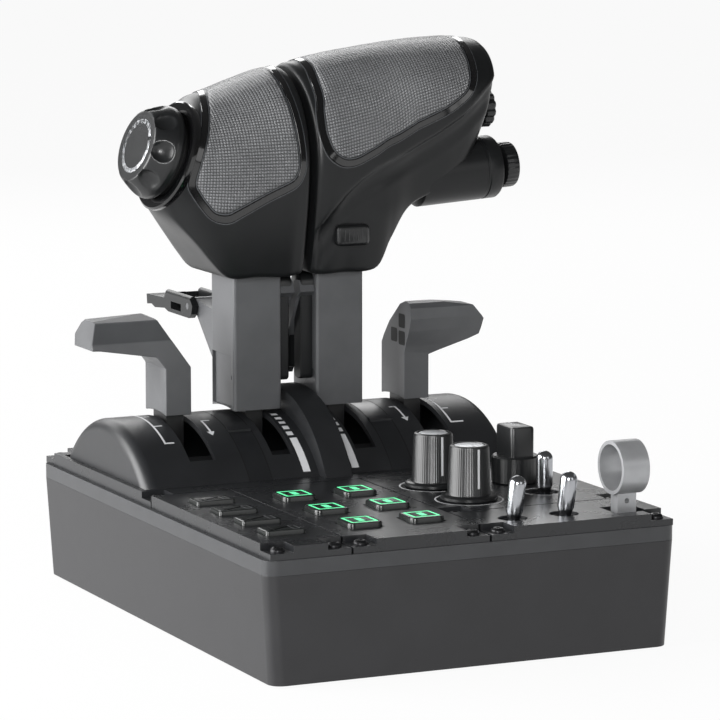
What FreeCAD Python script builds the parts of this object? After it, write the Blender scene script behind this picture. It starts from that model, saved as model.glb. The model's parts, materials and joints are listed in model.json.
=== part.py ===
import FreeCAD, Part
import math
import os
import Sketcher

# Throttle quadrant: a desk box that carries two big throttle levers with shaped grips, a reverser
# lever behind each, two small side levers, ten keys, two knobs, a selector, three toggles and a
# gear lever.  Millimetres.  X runs to the right along the front, Y away from the pilot, Z up.
# The origin is the middle of the underside of the base.

Vector = FreeCAD.Vector
doc = FreeCAD.newDocument("throttle_quadrant")
sheet = doc.addObject("Spreadsheet::Sheet", "Sizes")

SIZES = {
    # base box
    "base_depth": 273, "dome_side": 5, "dome_rear": 4.5, "tub_height": 48.3, "rim_height": 6.7,
    "plate_thickness": 5.9, "base_wall": 2.6, "side_draft": 3.07, "front_draft": 0.7,
    "corner_round": 6.3, "floor_thickness": 3, "column_width": 12, "column_height": 28,
    "foot_radius": 7, "foot_height": 1, "foot_inset_x": 20, "foot_inset_y": 31.5,
    "screw_shank": 1.5, "screw_head": 3.25, "head_height": 2, "case_screw_inset": 6,
    "desk_bolt_x": 120, "desk_bolt_y": 200, "desk_bolt_radius": 2.6, "boss_wall": 3,
    "boss_height": 6,
    # clearances
    "seat_gap": 0.3, "hug_gap": 0.1, "running_gap": 0.06,
    # top plates
    "plate_inset_x": 2, "plate_inset_y": 0.5, "plate_gap": 1, "seam_left": -59.5,
    "seam_middle": 7, "front_panel": 41.8, "seam_dome": 0.5, "notch_width": 11,
    "notch_depth": 3, "notch_screw": 5.7, "ledge_x": 5, "ledge_y": 11,
    # keys
    "key_width": 16.4, "key_depth": 16, "key_round": 3, "key_rise": 2.4, "key_travel": 1.5,
    "key_column": -26.3, "key_column_pitch": 30.2, "key_shift": 0.5, "key_row_pitch": 35,
    "small_key_aside": 0.75, "small_key_width": 18.5, "small_key_depth": 11.5,
    "small_key_shift": 1.3, "small_key_pitch": 25.9, "small_key_rise": 2.1,
    # knobs, selector, toggles, gear lever; a share is a part of the right back plate's depth
    "knob_x": 29.4, "knob_near_share": 25.0 / 94.2, "knob_far_share": 62.3 / 94.2,
    "selector_share": 56.2 / 94.2, "toggle_c_share": 27.5 / 94.2, "knob_radius": 9,
    "knob_foot": 13, "knob_height": 25, "knob_skirt": 2, "knob_shaft": 3,
    "selector_x": 68.8, "selector_radius": 11, "selector_step": 12.6,
    "selector_height": 26.6, "selector_bar": 12, "selector_length": 17,
    "toggle_a_x": 26.6, "toggle_b_x": 52.2, "toggle_inset": 17.9, "toggle_c_x": 69.2,
    "toggle_hole": 6.65, "toggle_radius": 3.85, "toggle_height": 19.5,
    "toggle_ball": 2.5, "toggle_lean": 6,
    "gear_inset_x": 18.5, "gear_inset_y": 16.5, "gear_ring": 12.1, "gear_ring_wall": 1.7,
    "gear_ring_length": 13.4, "gear_ring_height": 19.3, "gear_stem_width": 9.5,
    "gear_stem_depth": 6.3, "gear_pivot_drop": 12.4, "gear_pin": 1.5, "gear_slot": 16,
    # dome
    "pivot_y": 66, "pivot_z": 19.7, "dome_radius": 66, "dome_wall": 2.5, "dome_half": 95,
    "dome_round": 6, "strip_in": 31, "strip_out": 42.4, "slot_angle": 39.5,
    "main_slot_x": 21.5, "main_slot_width": 10.6, "small_slot_x": 62.15,
    "small_slot_width": 12.9, "hump_half": 6.8, "hump_extra": 1, "hump_lift": 9.8,
    "bar_rise": 1, "bar_width": 6,
    # pivots
    "axle_radius": 4, "axle_inset": 7, "bracket_width": 4, "bracket_depth": 24,
    "bracket_height": 28, "bracket_inset": 10, "bracket_inner_x": 42, "hub_radius": 13,
    "sleeve_radius": 7, "arm_width": 8.8, "arm_depth": 16, "main_arm_top": 196,
    "small_arm_top": 112,
    # lever housings
    "foot_clear": 3, "tower_width": 24.6, "tower_front": 53, "tower_depth": 28,
    "tower_x": 21.4, "grip_floor": 152, "small_width": 13, "small_depth": 26,
    "foot_start": 50, "small_waist": 90.5, "handle_rise": 26, "recess_depth": 1.5,
    "recess_low": 69, "recess_high": 94, "recess_screw": 83.2, "recess_screw_radius": 2.2,
    # reverser levers
    "reverser_width": 20.6, "reverser_y": 115.9, "reverser_z": 130.1, "reverser_pin": 1.7,
    "gusset_width": 13.4, "gusset_tip": 4.3, "rail_radius": 1.7, "rail_spread": 8.75,
    # grips
    "grip_gap": 3, "grip_wall": 3, "panel_thickness": 1.3, "grip_crown": 75,
    "collar_x": -62.5, "collar_y": 63, "collar_z": 209.3, "collar_radius": 26,
    "end_knob_radius": 22.5, "end_knob_face": 17.5, "end_knob_length": 14, "end_knob_shaft": 8,
    "end_knob_gap": 3.5, "end_knob_tilt": 19,
    "barrel_radius": 15.25, "barrel_start": 64, "barrel_end": 105.8, "barrel_y": 60,
    "barrel_z": 198, "barrel_tilt": 3.8, "barrel_knob_radius": 11, "barrel_knob_length": 7,
    "barrel_knob_gap": 3.5, "barrel_shaft": 5,
    "hat_y": 62, "hat_upper_z": 247.5, "hat_lower_z": 226.5, "hat_upper_radius": 4.9,
    "hat_lower_radius": 9.6, "hat_upper_rise": 4.8, "hat_lower_rise": 13.8, "hat_cap": 5.8,
    "hat_neck": 3, "hat_depth": 8,
    "slide_x": 21.5, "slide_z": 170.5, "slide_width": 17, "slide_height": 10,
    "slide_travel": 3, "slide_front": 37, "slide_depth": 7.4,
    # inside the base
    "board_z": 36, "board_thickness": 1.6, "board_gap": 2.58, "post_inset": 8, "switch_width": 14,
    "usb_x": 41, "usb_z": 11.6, "usb_width": 10, "usb_height": 3.4, "usb_length": 12,
}


class Size:
    """A length or an angle that knows its value and the sheet formula that gives it."""

    def __init__(self, value, formula):
        self.value = float(value)
        self.formula = formula

    def __float__(self):
        return self.value

    def __add__(self, other):
        return Size(self.value + float(other), "(%s + %s)" % (self.formula, formula(other)))

    def __radd__(self, other):
        return self + other

    def __sub__(self, other):
        return Size(self.value - float(other), "(%s - %s)" % (self.formula, formula(other)))

    def __rsub__(self, other):
        return Size(float(other) - self.value, "(%s - %s)" % (formula(other), self.formula))

    def __mul__(self, other):
        return Size(self.value * float(other), "(%s * %s)" % (self.formula, formula(other)))

    def __rmul__(self, other):
        return self * other

    def __truediv__(self, other):
        return Size(self.value / float(other), "(%s / %s)" % (self.formula, formula(other)))

    def __neg__(self):
        return Size(-self.value, "(-1 * %s)" % self.formula)


def formula(value):
    """The text of a size, or of a bare number, for an expression."""
    if isinstance(value, Size):
        return value.formula
    return "(%.6f)" % value


def sine(angle):
    return Size(math.sin(math.radians(float(angle))), "sin(%s)" % formula(angle))


def cosine(angle):
    return Size(math.cos(math.radians(float(angle))), "cos(%s)" % formula(angle))


class Sizes:
    """The sheet's values by name."""


s = Sizes()
for row, (name, number) in enumerate(SIZES.items(), start=1):
    sheet.set("A%d" % row, name)
    sheet.set("B%d" % row, str(number))
    sheet.setAlias("B%d" % row, name)
    setattr(s, name, Size(number, "Sizes." + name))
doc.recompute()

# heights and places that many pieces share; the base is as wide as the dome and its two sides,
# and its back face stands behind the dome
rim_top = s.tub_height + s.rim_height
plate_top = rim_top + s.plate_thickness
half_width = s.dome_half + s.dome_side
half_depth = s.base_depth / 2
back_edge = s.pivot_y + s.dome_radius + s.dome_rear
front_edge = back_edge - s.base_depth
middle_y = (front_edge + back_edge) / 2
parts = []


# ---------------------------------------------------------------- building helpers

def bind(obj, prop, value):
    """Ties one property to the sheet."""
    obj.setExpression(prop, formula(value))


def turn(axis, degrees):
    return FreeCAD.Rotation(Vector(*axis), degrees)


ALONG = {"X": turn((0, 1, 0), 90), "Y": turn((1, 0, 0), -90), "Z": turn((0, 0, 1), 0)}


def place(obj, x, y, z):
    bind(obj, "Placement.Base.x", x)
    bind(obj, "Placement.Base.y", y)
    bind(obj, "Placement.Base.z", z)
    return obj


def box(x0, x1, y0, y1, z0, z1):
    """A block between two corners."""
    obj = doc.addObject("Part::Box", "block")
    bind(obj, "Length", x1 - x0)
    bind(obj, "Width", y1 - y0)
    bind(obj, "Height", z1 - z0)
    return place(obj, x0, y0, z0)


def block(x, y, width, depth, z0, z1):
    """A block about a middle line that stands up."""
    return box(x - width / 2, x + width / 2, y - depth / 2, y + depth / 2, z0, z1)


def rod(axis, radius, start, end, first, second):
    """A round bar along an axis; first and second are its other two coordinates."""
    obj = doc.addObject("Part::Cylinder", "rod")
    bind(obj, "Radius", radius)
    bind(obj, "Height", end - start)
    obj.Placement = FreeCAD.Placement(Vector(), ALONG[axis])
    corner = {"X": (start, first, second), "Y": (first, start, second),
              "Z": (first, second, start)}[axis]
    return place(obj, *corner)


def cone(radius_low, radius_high, z0, z1, x, y):
    obj = doc.addObject("Part::Cone", "cone")
    bind(obj, "Radius1", radius_low)
    bind(obj, "Radius2", radius_high)
    bind(obj, "Height", z1 - z0)
    return place(obj, x, y, z0)


def ball(radius, x, y, z):
    obj = doc.addObject("Part::Sphere", "ball")
    bind(obj, "Radius", radius)
    return place(obj, x, y, z)


def draw(body, plane, points, offset):
    """A closed outline on one of a body's own planes, every corner tied to the sheet."""
    sketch = body.newObject("Sketcher::SketchObject", "outline")
    feature = [o for o in body.Origin.OriginFeatures if o.Role == plane][0]
    sketch.AttachmentSupport = [(feature, "")]
    sketch.MapMode = "FlatFace"
    bind(sketch, "AttachmentOffset.Base.z", offset)
    corners = [(float(u), float(v)) for u, v in points]
    count = len(corners)
    for i in range(count):
        here = Vector(corners[i][0], corners[i][1], 0)
        there = Vector(corners[(i + 1) % count][0], corners[(i + 1) % count][1], 0)
        sketch.addGeometry(Part.LineSegment(here, there), False)
    for i in range(count):
        sketch.addConstraint(Sketcher.Constraint("Coincident", i, 2, (i + 1) % count, 1))
    for i in range(count):
        for kind, number, value in (("DistanceX", corners[i][0], points[i][0]),
                                    ("DistanceY", corners[i][1], points[i][1])):
            index = sketch.addConstraint(Sketcher.Constraint(kind, -1, 1, i, 1, number))
            if isinstance(value, Size):
                sketch.setExpression("Constraints[%d]" % index, value.formula)
    return sketch


def new_body():
    return doc.addObject("PartDesign::Body", "body")


def prism(plane, points, low, high):
    """An outline on the XY, XZ or YZ plane, padded between two distances from that plane."""
    body = new_body()
    start = -1 * high if plane == "XZ" else low
    sketch = draw(body, plane + "_Plane", points, start)
    pad = body.newObject("PartDesign::Pad", "pad")
    pad.Profile = sketch
    bind(pad, "Length", high - low)
    doc.recompute()
    return body


def round_edges(body, radius, wanted):
    """Rounds the edges of a body that the test wants."""
    tip = body.Tip
    names = ["Edge%d" % (i + 1) for i, edge in enumerate(tip.Shape.Edges) if wanted(edge)]
    fillet = body.newObject("PartDesign::Fillet", "round")
    fillet.Base = (tip, names)
    bind(fillet, "Radius", radius)
    doc.recompute()
    return body


def upright(edge):
    """An edge that stands up, or nearly so."""
    first = edge.Vertexes[0].Point
    last = edge.Vertexes[-1].Point
    return abs(last.z - first.z) > 0.9 * edge.Length


def slab(x0, x1, y0, y1, z0, z1, radius):
    """A flat block with rounded upright corners."""
    body = prism("XY", [(x0, y0), (x1, y0), (x1, y1), (x0, y1)], z0, z1)
    return round_edges(body, radius, upright)


def join(*pieces):
    obj = doc.addObject("Part::MultiFuse", "joined")
    obj.Shapes = list(pieces)
    return obj


def cut(base, *tools):
    obj = doc.addObject("Part::Cut", "cut")
    obj.Base = base
    obj.Tool = tools[0] if len(tools) == 1 else join(*tools)
    return obj


def overlap(first, second):
    obj = doc.addObject("Part::Common", "shared")
    obj.Base = first
    obj.Tool = second
    return obj


def group(*pieces):
    """Separate solids that share one node."""
    obj = doc.addObject("Part::Compound", "group")
    obj.Links = list(pieces)
    return obj


def keep(obj, label):
    obj.Label = label
    parts.append(obj)
    return obj


def shaped(shape, label):
    """A sub-part whose free-form surface no feature draws."""
    obj = doc.addObject("Part::Feature", label)
    obj.Shape = shape
    obj.Label = label
    obj.Placement = FreeCAD.Placement()
    parts.append(obj)
    return obj


# ---------------------------------------------------------------- base box

def tapered(inset):
    """The box of the tub, drafted inward to the bottom, drawn in by a wall."""
    wedge = doc.addObject("Part::Wedge", "wedge")
    wedge.Placement = FreeCAD.Placement(Vector(), turn((1, 0, 0), 90))
    bind(wedge, "Placement.Base.y", middle_y)
    top_x = half_width - inset
    top_y = half_depth - inset
    for prop, value in (("Ymin", 0), ("Ymax", s.tub_height),
                        ("Xmin", s.side_draft - top_x), ("Xmax", top_x - s.side_draft),
                        ("Zmin", s.front_draft - top_y), ("Zmax", top_y - s.front_draft),
                        ("X2min", -top_x), ("X2max", top_x), ("Z2min", -top_y),
                        ("Z2max", top_y)):
        bind(wedge, prop, value)
    doc.recompute()
    radius = float(s.corner_round - inset)
    rounded = doc.addObject("Part::Fillet", "round")
    rounded.Base = wedge
    rounded.Edges = [(number, radius, radius)
                     for number, edge in enumerate(wedge.Shape.Edges, start=1) if upright(edge)]
    return rounded


def four(x, y):
    """The four points of a rectangle about the middle of the base."""
    return [(side * x, middle_y + end * y) for side, end in ((-1, -1), (1, -1), (1, 1), (-1, 1))]


inner_x = half_width - s.side_draft - s.base_wall
inner_y = half_depth - s.front_draft - s.base_wall
inner_back = middle_y + inner_y
case_screw_x = inner_x - s.case_screw_inset
case_screw_y = inner_y - s.case_screw_inset
usb_back = back_edge - s.front_draft
usb_low = s.usb_z
usb_high = s.usb_z + s.usb_height


def base_tub():
    shell = cut(tapered(0), tapered(s.base_wall))
    columns = []
    for x, y in four(inner_x - s.column_width / 2, inner_y - s.column_width / 2):
        column = block(x, y, s.column_width + 2 * s.base_wall, s.column_width + 2 * s.base_wall,
                       s.floor_thickness, s.column_height)
        columns.append(overlap(column, tapered(s.base_wall / 2)))
    holes = [rod("Z", s.screw_shank, 0, s.column_height, x, y)
             for x, y in four(case_screw_x, case_screw_y)]
    port = box(s.usb_x - s.usb_width / 2 - s.seat_gap, s.usb_x + s.usb_width / 2 + s.seat_gap,
               inner_back - 1, back_edge, usb_low - s.seat_gap, usb_high + s.seat_gap)
    keep(cut(join(shell, *columns), port, *holes), "base_tub")


def bottom_plate():
    x = inner_x - s.seat_gap
    y = inner_y - s.seat_gap
    floor = slab(-x, x, middle_y - y, middle_y + y, 0, s.floor_thickness,
                 s.corner_round - s.base_wall)
    bosses = [rod("Z", s.desk_bolt_radius + s.boss_wall, 0, s.floor_thickness + s.boss_height,
                  px, py) for px, py in four(s.desk_bolt_x / 2, s.desk_bolt_y / 2)]
    posts = [rod("Z", s.boss_wall, 0, s.board_z, px, py) for px, py in board_corners]
    posts += [rod("Z", s.boss_wall, 0, s.usb_z - s.board_thickness, s.usb_x + side, usb_post_y)
              for side in (-8, 8)]
    holes = [rod("Z", s.desk_bolt_radius, 0, s.floor_thickness + s.boss_height, px, py)
             for px, py in four(s.desk_bolt_x / 2, s.desk_bolt_y / 2)]
    for px, py in four(case_screw_x, case_screw_y):
        holes.append(rod("Z", s.screw_shank, 0, s.floor_thickness, px, py))
        holes.append(rod("Z", s.screw_head + s.hug_gap, 0, s.head_height, px, py))
    keep(cut(join(floor, *(bosses + posts)), *holes), "bottom_plate")


def rubber_feet():
    keep(group(*[rod("Z", s.foot_radius, -1 * s.foot_height, 0, x, y)
                 for x, y in four(half_width - s.foot_inset_x, half_depth - s.foot_inset_y)]),
         "rubber_feet")


# ---------------------------------------------------------------- top plates

plate_left = s.plate_inset_x - half_width
plate_right = half_width - s.plate_inset_x
plate_front = front_edge + s.plate_inset_y
plate_rear = back_edge - s.plate_inset_y
half_gap = s.plate_gap / 2
seam_rear = s.pivot_y - s.dome_radius - s.seam_dome
seam_cross = front_edge + s.front_panel
PLATES = {
    "plate_left": (plate_left, s.seam_left - half_gap, plate_front, seam_rear - half_gap),
    "plate_centre": (s.seam_left + half_gap, s.seam_middle - half_gap, plate_front,
                     seam_rear - half_gap),
    "plate_front_right": (s.seam_middle + half_gap, plate_right, plate_front,
                          seam_cross - half_gap),
    "plate_back_right": (s.seam_middle + half_gap, plate_right, seam_cross + half_gap,
                         seam_rear - half_gap),
    "dome_plate": (plate_left, plate_right, seam_rear + half_gap, plate_rear),
}
NOTCHED = {
    "plate_left": ((0, 0), (1, 0)), "plate_centre": ((0, 0), (1, 0)),
    "plate_front_right": ((0, 0), (1, 0)), "plate_back_right": ((0, 0), (1, 0)),
    "dome_plate": ((0, 0), (1, 0), (0, 1), (1, 1)),
}


def notches(name):
    """Corner recesses of a plate: block corner and screw place of each."""
    x0, x1, y0, y1 = PLATES[name]
    found = []
    for right, back in NOTCHED[name]:
        x = x1 - s.notch_width if right else x0
        y = y1 - s.notch_width if back else y0
        screw_x = x1 - s.notch_screw if right else x0 + s.notch_screw
        screw_y = y1 - s.notch_screw if back else y0 + s.notch_screw
        found.append((x, y, screw_x, screw_y))
    return found


panel_screws = [(nx, ny) for name in PLATES for _, _, nx, ny in notches(name)]

# the keys stand about the middle of the front plates; the toggles and the gear lever keep their
# distance from the front edge and the side; the rest shares out the right back plate
panel_middle = (front_edge + seam_rear) / 2
key_row = panel_middle - s.key_shift
small_key_row = panel_middle + s.small_key_shift
small_key_x = (plate_left + s.seam_left - half_gap) / 2 - s.small_key_aside
key_places = [(s.key_column + side * s.key_column_pitch / 2, key_row + row * s.key_row_pitch)
              for row in (-1, 0, 1) for side in (-1, 1)]
small_key_places = [(small_key_x, small_key_row + step * s.small_key_pitch)
                    for step in (-1.5, -0.5, 0.5, 1.5)]
shared_depth = seam_rear - seam_cross
knob_places = {"knob_near": (s.knob_x, seam_cross + s.knob_near_share * shared_depth),
               "knob_far": (s.knob_x, seam_cross + s.knob_far_share * shared_depth)}
selector_y = seam_cross + s.selector_share * shared_depth
toggle_front_y = front_edge + s.toggle_inset
toggle_places = {"toggle_a": (s.toggle_a_x, toggle_front_y),
                 "toggle_b": (s.toggle_b_x, toggle_front_y),
                 "toggle_c": (s.toggle_c_x, seam_cross + s.toggle_c_share * shared_depth)}
gear_x = half_width - s.gear_inset_x
gear_y = front_edge + s.gear_inset_y


def plate(name, *openings):
    """One top plate with its notches, screw holes and the openings it is given."""
    x0, x1, y0, y1 = PLATES[name]
    sheet_body = box(x0, x1, y0, y1, rim_top, plate_top)
    tools = list(openings)
    for x, y, screw_x, screw_y in notches(name):
        tools.append(box(x, x + s.notch_width, y, y + s.notch_width,
                         plate_top - s.notch_depth, plate_top))
        tools.append(rod("Z", s.screw_shank, rim_top, plate_top, screw_x, screw_y))
    keep(cut(sheet_body, *tools), name)


def well(x, y, width, depth):
    """The opening round a key."""
    return block(x, y, width + 2 * s.seat_gap, depth + 2 * s.seat_gap, rim_top, plate_top)


def bore(x, y, radius):
    return rod("Z", radius, rim_top, plate_top, x, y)


def base_rim():
    ring = slab(-half_width, half_width, front_edge, back_edge, s.tub_height, rim_top,
                s.corner_round)
    windows = []
    for name, (x0, x1, y0, y1) in PLATES.items():
        if name != "dome_plate":
            windows.append(box(x0 + s.ledge_x, x1 - s.ledge_x, y0 + s.ledge_y, y1 - s.ledge_y,
                               s.tub_height, rim_top))
    reach = (dome_chord - s.dome_wall)
    side = s.dome_half - s.dome_wall
    windows.append(box(-side, side, s.pivot_y - reach, s.pivot_y + reach, s.tub_height, rim_top))
    holes = [rod("Z", s.screw_shank, s.tub_height, rim_top, x, y) for x, y in panel_screws]
    keep(cut(ring, *(windows + holes)), "base_rim")


def case_screws():
    """Panel screws with button heads, and the four that hold the bottom."""
    pieces = []
    floor = plate_top - s.notch_depth
    for x, y in panel_screws:
        pieces.append(join(rod("Z", s.screw_shank, s.tub_height + 1, floor, x, y),
                           rod("Z", s.screw_head, floor, floor + s.head_height, x, y)))
    for x, y in four(case_screw_x, case_screw_y):
        pieces.append(join(rod("Z", s.screw_head, 0, s.head_height, x, y),
                           rod("Z", s.screw_shank, s.head_height, s.column_height - 3, x, y)))
    keep(group(*pieces), "case_screws")


def top_plates():
    small_wells = [well(x, y, s.small_key_width, s.small_key_depth) for x, y in small_key_places]
    plate("plate_left", *small_wells)
    plate("plate_centre", *[well(x, y, s.key_width, s.key_depth) for x, y in key_places])
    shaft_hole = s.knob_shaft + s.seat_gap
    bores = [bore(x, y, shaft_hole) for x, y in knob_places.values()]
    bores.append(bore(s.selector_x, selector_y, shaft_hole))
    bores.append(bore(*toggle_places["toggle_c"], s.toggle_hole))
    plate("plate_back_right", *bores)
    gear_slot = well(gear_x, gear_y, s.gear_slot - 2 * s.seat_gap, s.gear_slot - 2 * s.seat_gap)
    plate("plate_front_right", gear_slot, bore(*toggle_places["toggle_a"], s.toggle_hole),
          bore(*toggle_places["toggle_b"], s.toggle_hole))
    opening = rod("X", s.dome_radius + s.seat_gap, -1 * s.dome_half - s.seat_gap,
                  s.dome_half + s.seat_gap, s.pivot_y, s.pivot_z)
    plate("dome_plate", opening)


# ---------------------------------------------------------------- dome

# half the width of the dome's foot where it stands on the rim
lift = float(rim_top - s.pivot_z)
dome_chord = Size(math.sqrt(float(s.dome_radius) ** 2 - lift ** 2),
                  "sqrt(Sizes.dome_radius ^ 2 - %s ^ 2)" % (rim_top - s.pivot_z).formula)


def drum(radius, start, end, rounding):
    """A round bar about the lever pivot, its outer end rounded."""
    body = new_body()
    sketch = body.newObject("Sketcher::SketchObject", "circle")
    side = [o for o in body.Origin.OriginFeatures if o.Role == "YZ_Plane"][0]
    sketch.AttachmentSupport = [(side, "")]
    sketch.MapMode = "FlatFace"
    bind(sketch, "AttachmentOffset.Base.z", start)
    centre = Vector(float(s.pivot_y), float(s.pivot_z), 0)
    sketch.addGeometry(Part.Circle(centre, Vector(0, 0, 1), float(radius)), False)
    for kind, value in (("DistanceX", s.pivot_y), ("DistanceY", s.pivot_z)):
        index = sketch.addConstraint(Sketcher.Constraint(kind, -1, 1, 0, 3, float(value)))
        sketch.setExpression("Constraints[%d]" % index, value.formula)
    index = sketch.addConstraint(Sketcher.Constraint("Radius", 0, float(radius)))
    sketch.setExpression("Constraints[%d]" % index, formula(radius))
    pad = body.newObject("PartDesign::Pad", "pad")
    pad.Profile = sketch
    bind(pad, "Length", end - start)
    doc.recompute()
    outer = max(float(start), float(end), key=abs)

    def at_outer_end(edge):
        return len(edge.Vertexes) == 1 and abs(edge.CenterOfMass.x - outer) < 0.01

    return round_edges(body, rounding, at_outer_end)


def below(height):
    """Everything of the dome under a height."""
    reach = s.dome_radius + 10
    return box(-1 * s.dome_half - 5, s.dome_half + 5, s.pivot_y - reach, s.pivot_y + reach,
               s.pivot_z - reach, height)


def slot(x, width):
    """The wedge that a lever sweeps through the dome."""
    reach = s.dome_radius * 1.3
    tip = [(s.pivot_y, s.pivot_z),
           (s.pivot_y + reach * sine(s.slot_angle), s.pivot_z + reach * cosine(s.slot_angle)),
           (s.pivot_y - reach * sine(s.slot_angle), s.pivot_z + reach * cosine(s.slot_angle))]
    return prism("YZ", tip, x - width / 2, x + width / 2)


def shell(start, end):
    """A length of the dome's wall between two planes, standing on the rim."""
    return cut(rod("X", s.dome_radius, start, end, s.pivot_y, s.pivot_z),
               rod("X", s.dome_radius - s.dome_wall, start, end, s.pivot_y, s.pivot_z),
               below(rim_top))


def dome():
    for side, label in ((-1, "dome_cover_left"), (1, "dome_cover_right")):
        ends = sorted((side * s.strip_out, side * s.dome_half), key=float)
        inner_ends = sorted((side * s.strip_out, side * (s.dome_half - s.dome_wall)), key=float)
        outer = drum(s.dome_radius, ends[0], ends[1], s.dome_round)
        inner = drum(s.dome_radius - s.dome_wall, inner_ends[0], inner_ends[1],
                     s.dome_round - s.dome_wall)
        keep(cut(outer, inner, below(rim_top), slot(side * s.small_slot_x, s.small_slot_width)),
             label)
    keep(cut(shell(-1 * s.strip_in, s.strip_in), slot(-1 * s.main_slot_x, s.main_slot_width),
             slot(s.main_slot_x, s.main_slot_width)), "dome_centre")
    strips = []
    for side in (-1, 1):
        low, high = sorted((side * s.strip_in, side * s.strip_out), key=float)
        bar_width = s.bar_width / 2
        bar = cut(rod("X", s.dome_radius + s.bar_rise, low, high, s.pivot_y, s.pivot_z),
                  rod("X", s.dome_radius - s.dome_wall, low, high, s.pivot_y, s.pivot_z))
        ridge_y = s.pivot_y - s.dome_radius * cosine(67.6)
        ridge = overlap(bar, box(low, high, ridge_y - bar_width / 2, ridge_y + bar_width / 2,
                                 s.pivot_z + s.dome_radius / 2,
                                 s.pivot_z + s.dome_radius + s.bar_rise))
        strips.append(join(shell(low, high), ridge))
    keep(group(*strips), "dome_strips")
    crest = rod("X", s.dome_radius + s.hump_extra, -1 * s.hump_half, s.hump_half, s.pivot_y,
                s.pivot_z + s.hump_lift)
    hull = rod("X", s.dome_radius, -1 * s.hump_half, s.hump_half, s.pivot_y, s.pivot_z)
    keep(cut(crest, hull, below(plate_top)), "dome_hump")


# ---------------------------------------------------------------- pivots and arms

axle_half = s.dome_half - s.axle_inset
bracket_outer_x = s.dome_half - s.bracket_inset


def pivots():
    keep(rod("X", s.axle_radius, -axle_half, axle_half, s.pivot_y, s.pivot_z), "lever_axle")
    plates = []
    for x in (-bracket_outer_x, -s.bracket_inner_x, 0 * s.bracket_inner_x, s.bracket_inner_x,
              bracket_outer_x):
        upright_plate = block(x, s.pivot_y, s.bracket_width, s.bracket_depth, s.floor_thickness,
                              s.floor_thickness + s.bracket_height)
        hole = rod("X", s.axle_radius, x - s.bracket_width, x + s.bracket_width, s.pivot_y,
                   s.pivot_z)
        plates.append(cut(upright_plate, hole))
    keep(group(*plates), "axle_brackets")


def lever_arm(label, side, x, near, far, top):
    """The bar of one lever, with the hub and the sleeve that space it on the axle."""
    middle = side * x
    hub = rod("X", s.hub_radius, middle - s.arm_width / 2, middle + s.arm_width / 2, s.pivot_y,
              s.pivot_z)
    gap = s.bracket_width / 2 + s.seat_gap
    low, high = sorted((side * (near + gap), side * (far - gap)), key=float)
    sleeve = rod("X", s.sleeve_radius, low, high, s.pivot_y, s.pivot_z)
    bar = block(middle, s.pivot_y, s.arm_width, s.arm_depth, s.pivot_z, top)
    hole = rod("X", s.axle_radius + s.running_gap, low, high, s.pivot_y, s.pivot_z)
    keep(cut(join(hub, sleeve, bar), hole), label)


def arm_space(middle, top):
    """The room that a housing leaves for its arm."""
    return block(middle, s.pivot_y, s.arm_width + 2 * s.hug_gap, s.arm_depth + 2 * s.hug_gap,
                 s.pivot_z, top + s.hug_gap)


def foot_arc(low, high):
    """The round space over the dome that lever housings stay out of."""
    return rod("X", s.dome_radius + s.foot_clear, low, high, s.pivot_y, s.pivot_z)


def arms():
    for side, name in ((-1, "left"), (1, "right")):
        lever_arm("lever_%s_arm" % name, side, s.main_slot_x, 0 * s.bracket_inner_x,
                  s.bracket_inner_x, s.main_arm_top)
    lever_arm("speed_lever_arm", -1, s.small_slot_x, s.bracket_inner_x, bracket_outer_x,
              s.small_arm_top)
    lever_arm("flap_lever_arm", 1, s.small_slot_x, s.bracket_inner_x, bracket_outer_x,
              s.small_arm_top)


# ---------------------------------------------------------------- lever housings

tower_back = s.tower_front + s.tower_depth


def towers():
    """The square housing of each throttle lever, open below round its arm."""
    for side, name in ((-1, "left"), (1, "right")):
        middle = side * s.tower_x
        low = middle - s.tower_width / 2
        high = middle + s.tower_width / 2
        body = prism("XY", [(low, s.tower_front), (high, s.tower_front), (high, tower_back),
                            (low, tower_back)], s.pivot_z + s.foot_start, s.grip_floor - s.seat_gap)
        body = round_edges(body, 1.5, upright)
        outer_face = side * (s.tower_x + s.tower_width / 2)
        face = sorted((outer_face, outer_face - side * s.recess_depth), key=float)
        recess = box(face[0], face[1], s.tower_front + 3.5, tower_back - 1.5,
                     s.pivot_z + s.recess_low, s.pivot_z + s.recess_high)
        screw_z = s.pivot_z + s.recess_screw
        screw = rod("X", s.recess_screw_radius, low, high, s.tower_front + 5.2, screw_z)
        screw_end = box(low + 6, high - 6, s.tower_front, s.tower_front + 10, screw_z - 3.2,
                        screw_z + 3.8)
        space = arm_space(side * s.main_slot_x, s.grip_floor + 10)
        keep(cut(body, foot_arc(low, high), space, recess, cut(screw, screw_end)),
             "lever_%s_housing" % name)


def mirror_points(points, side):
    """The same outline on the other side of the middle."""
    return [(side * u, v) for u, v in points]


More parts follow.
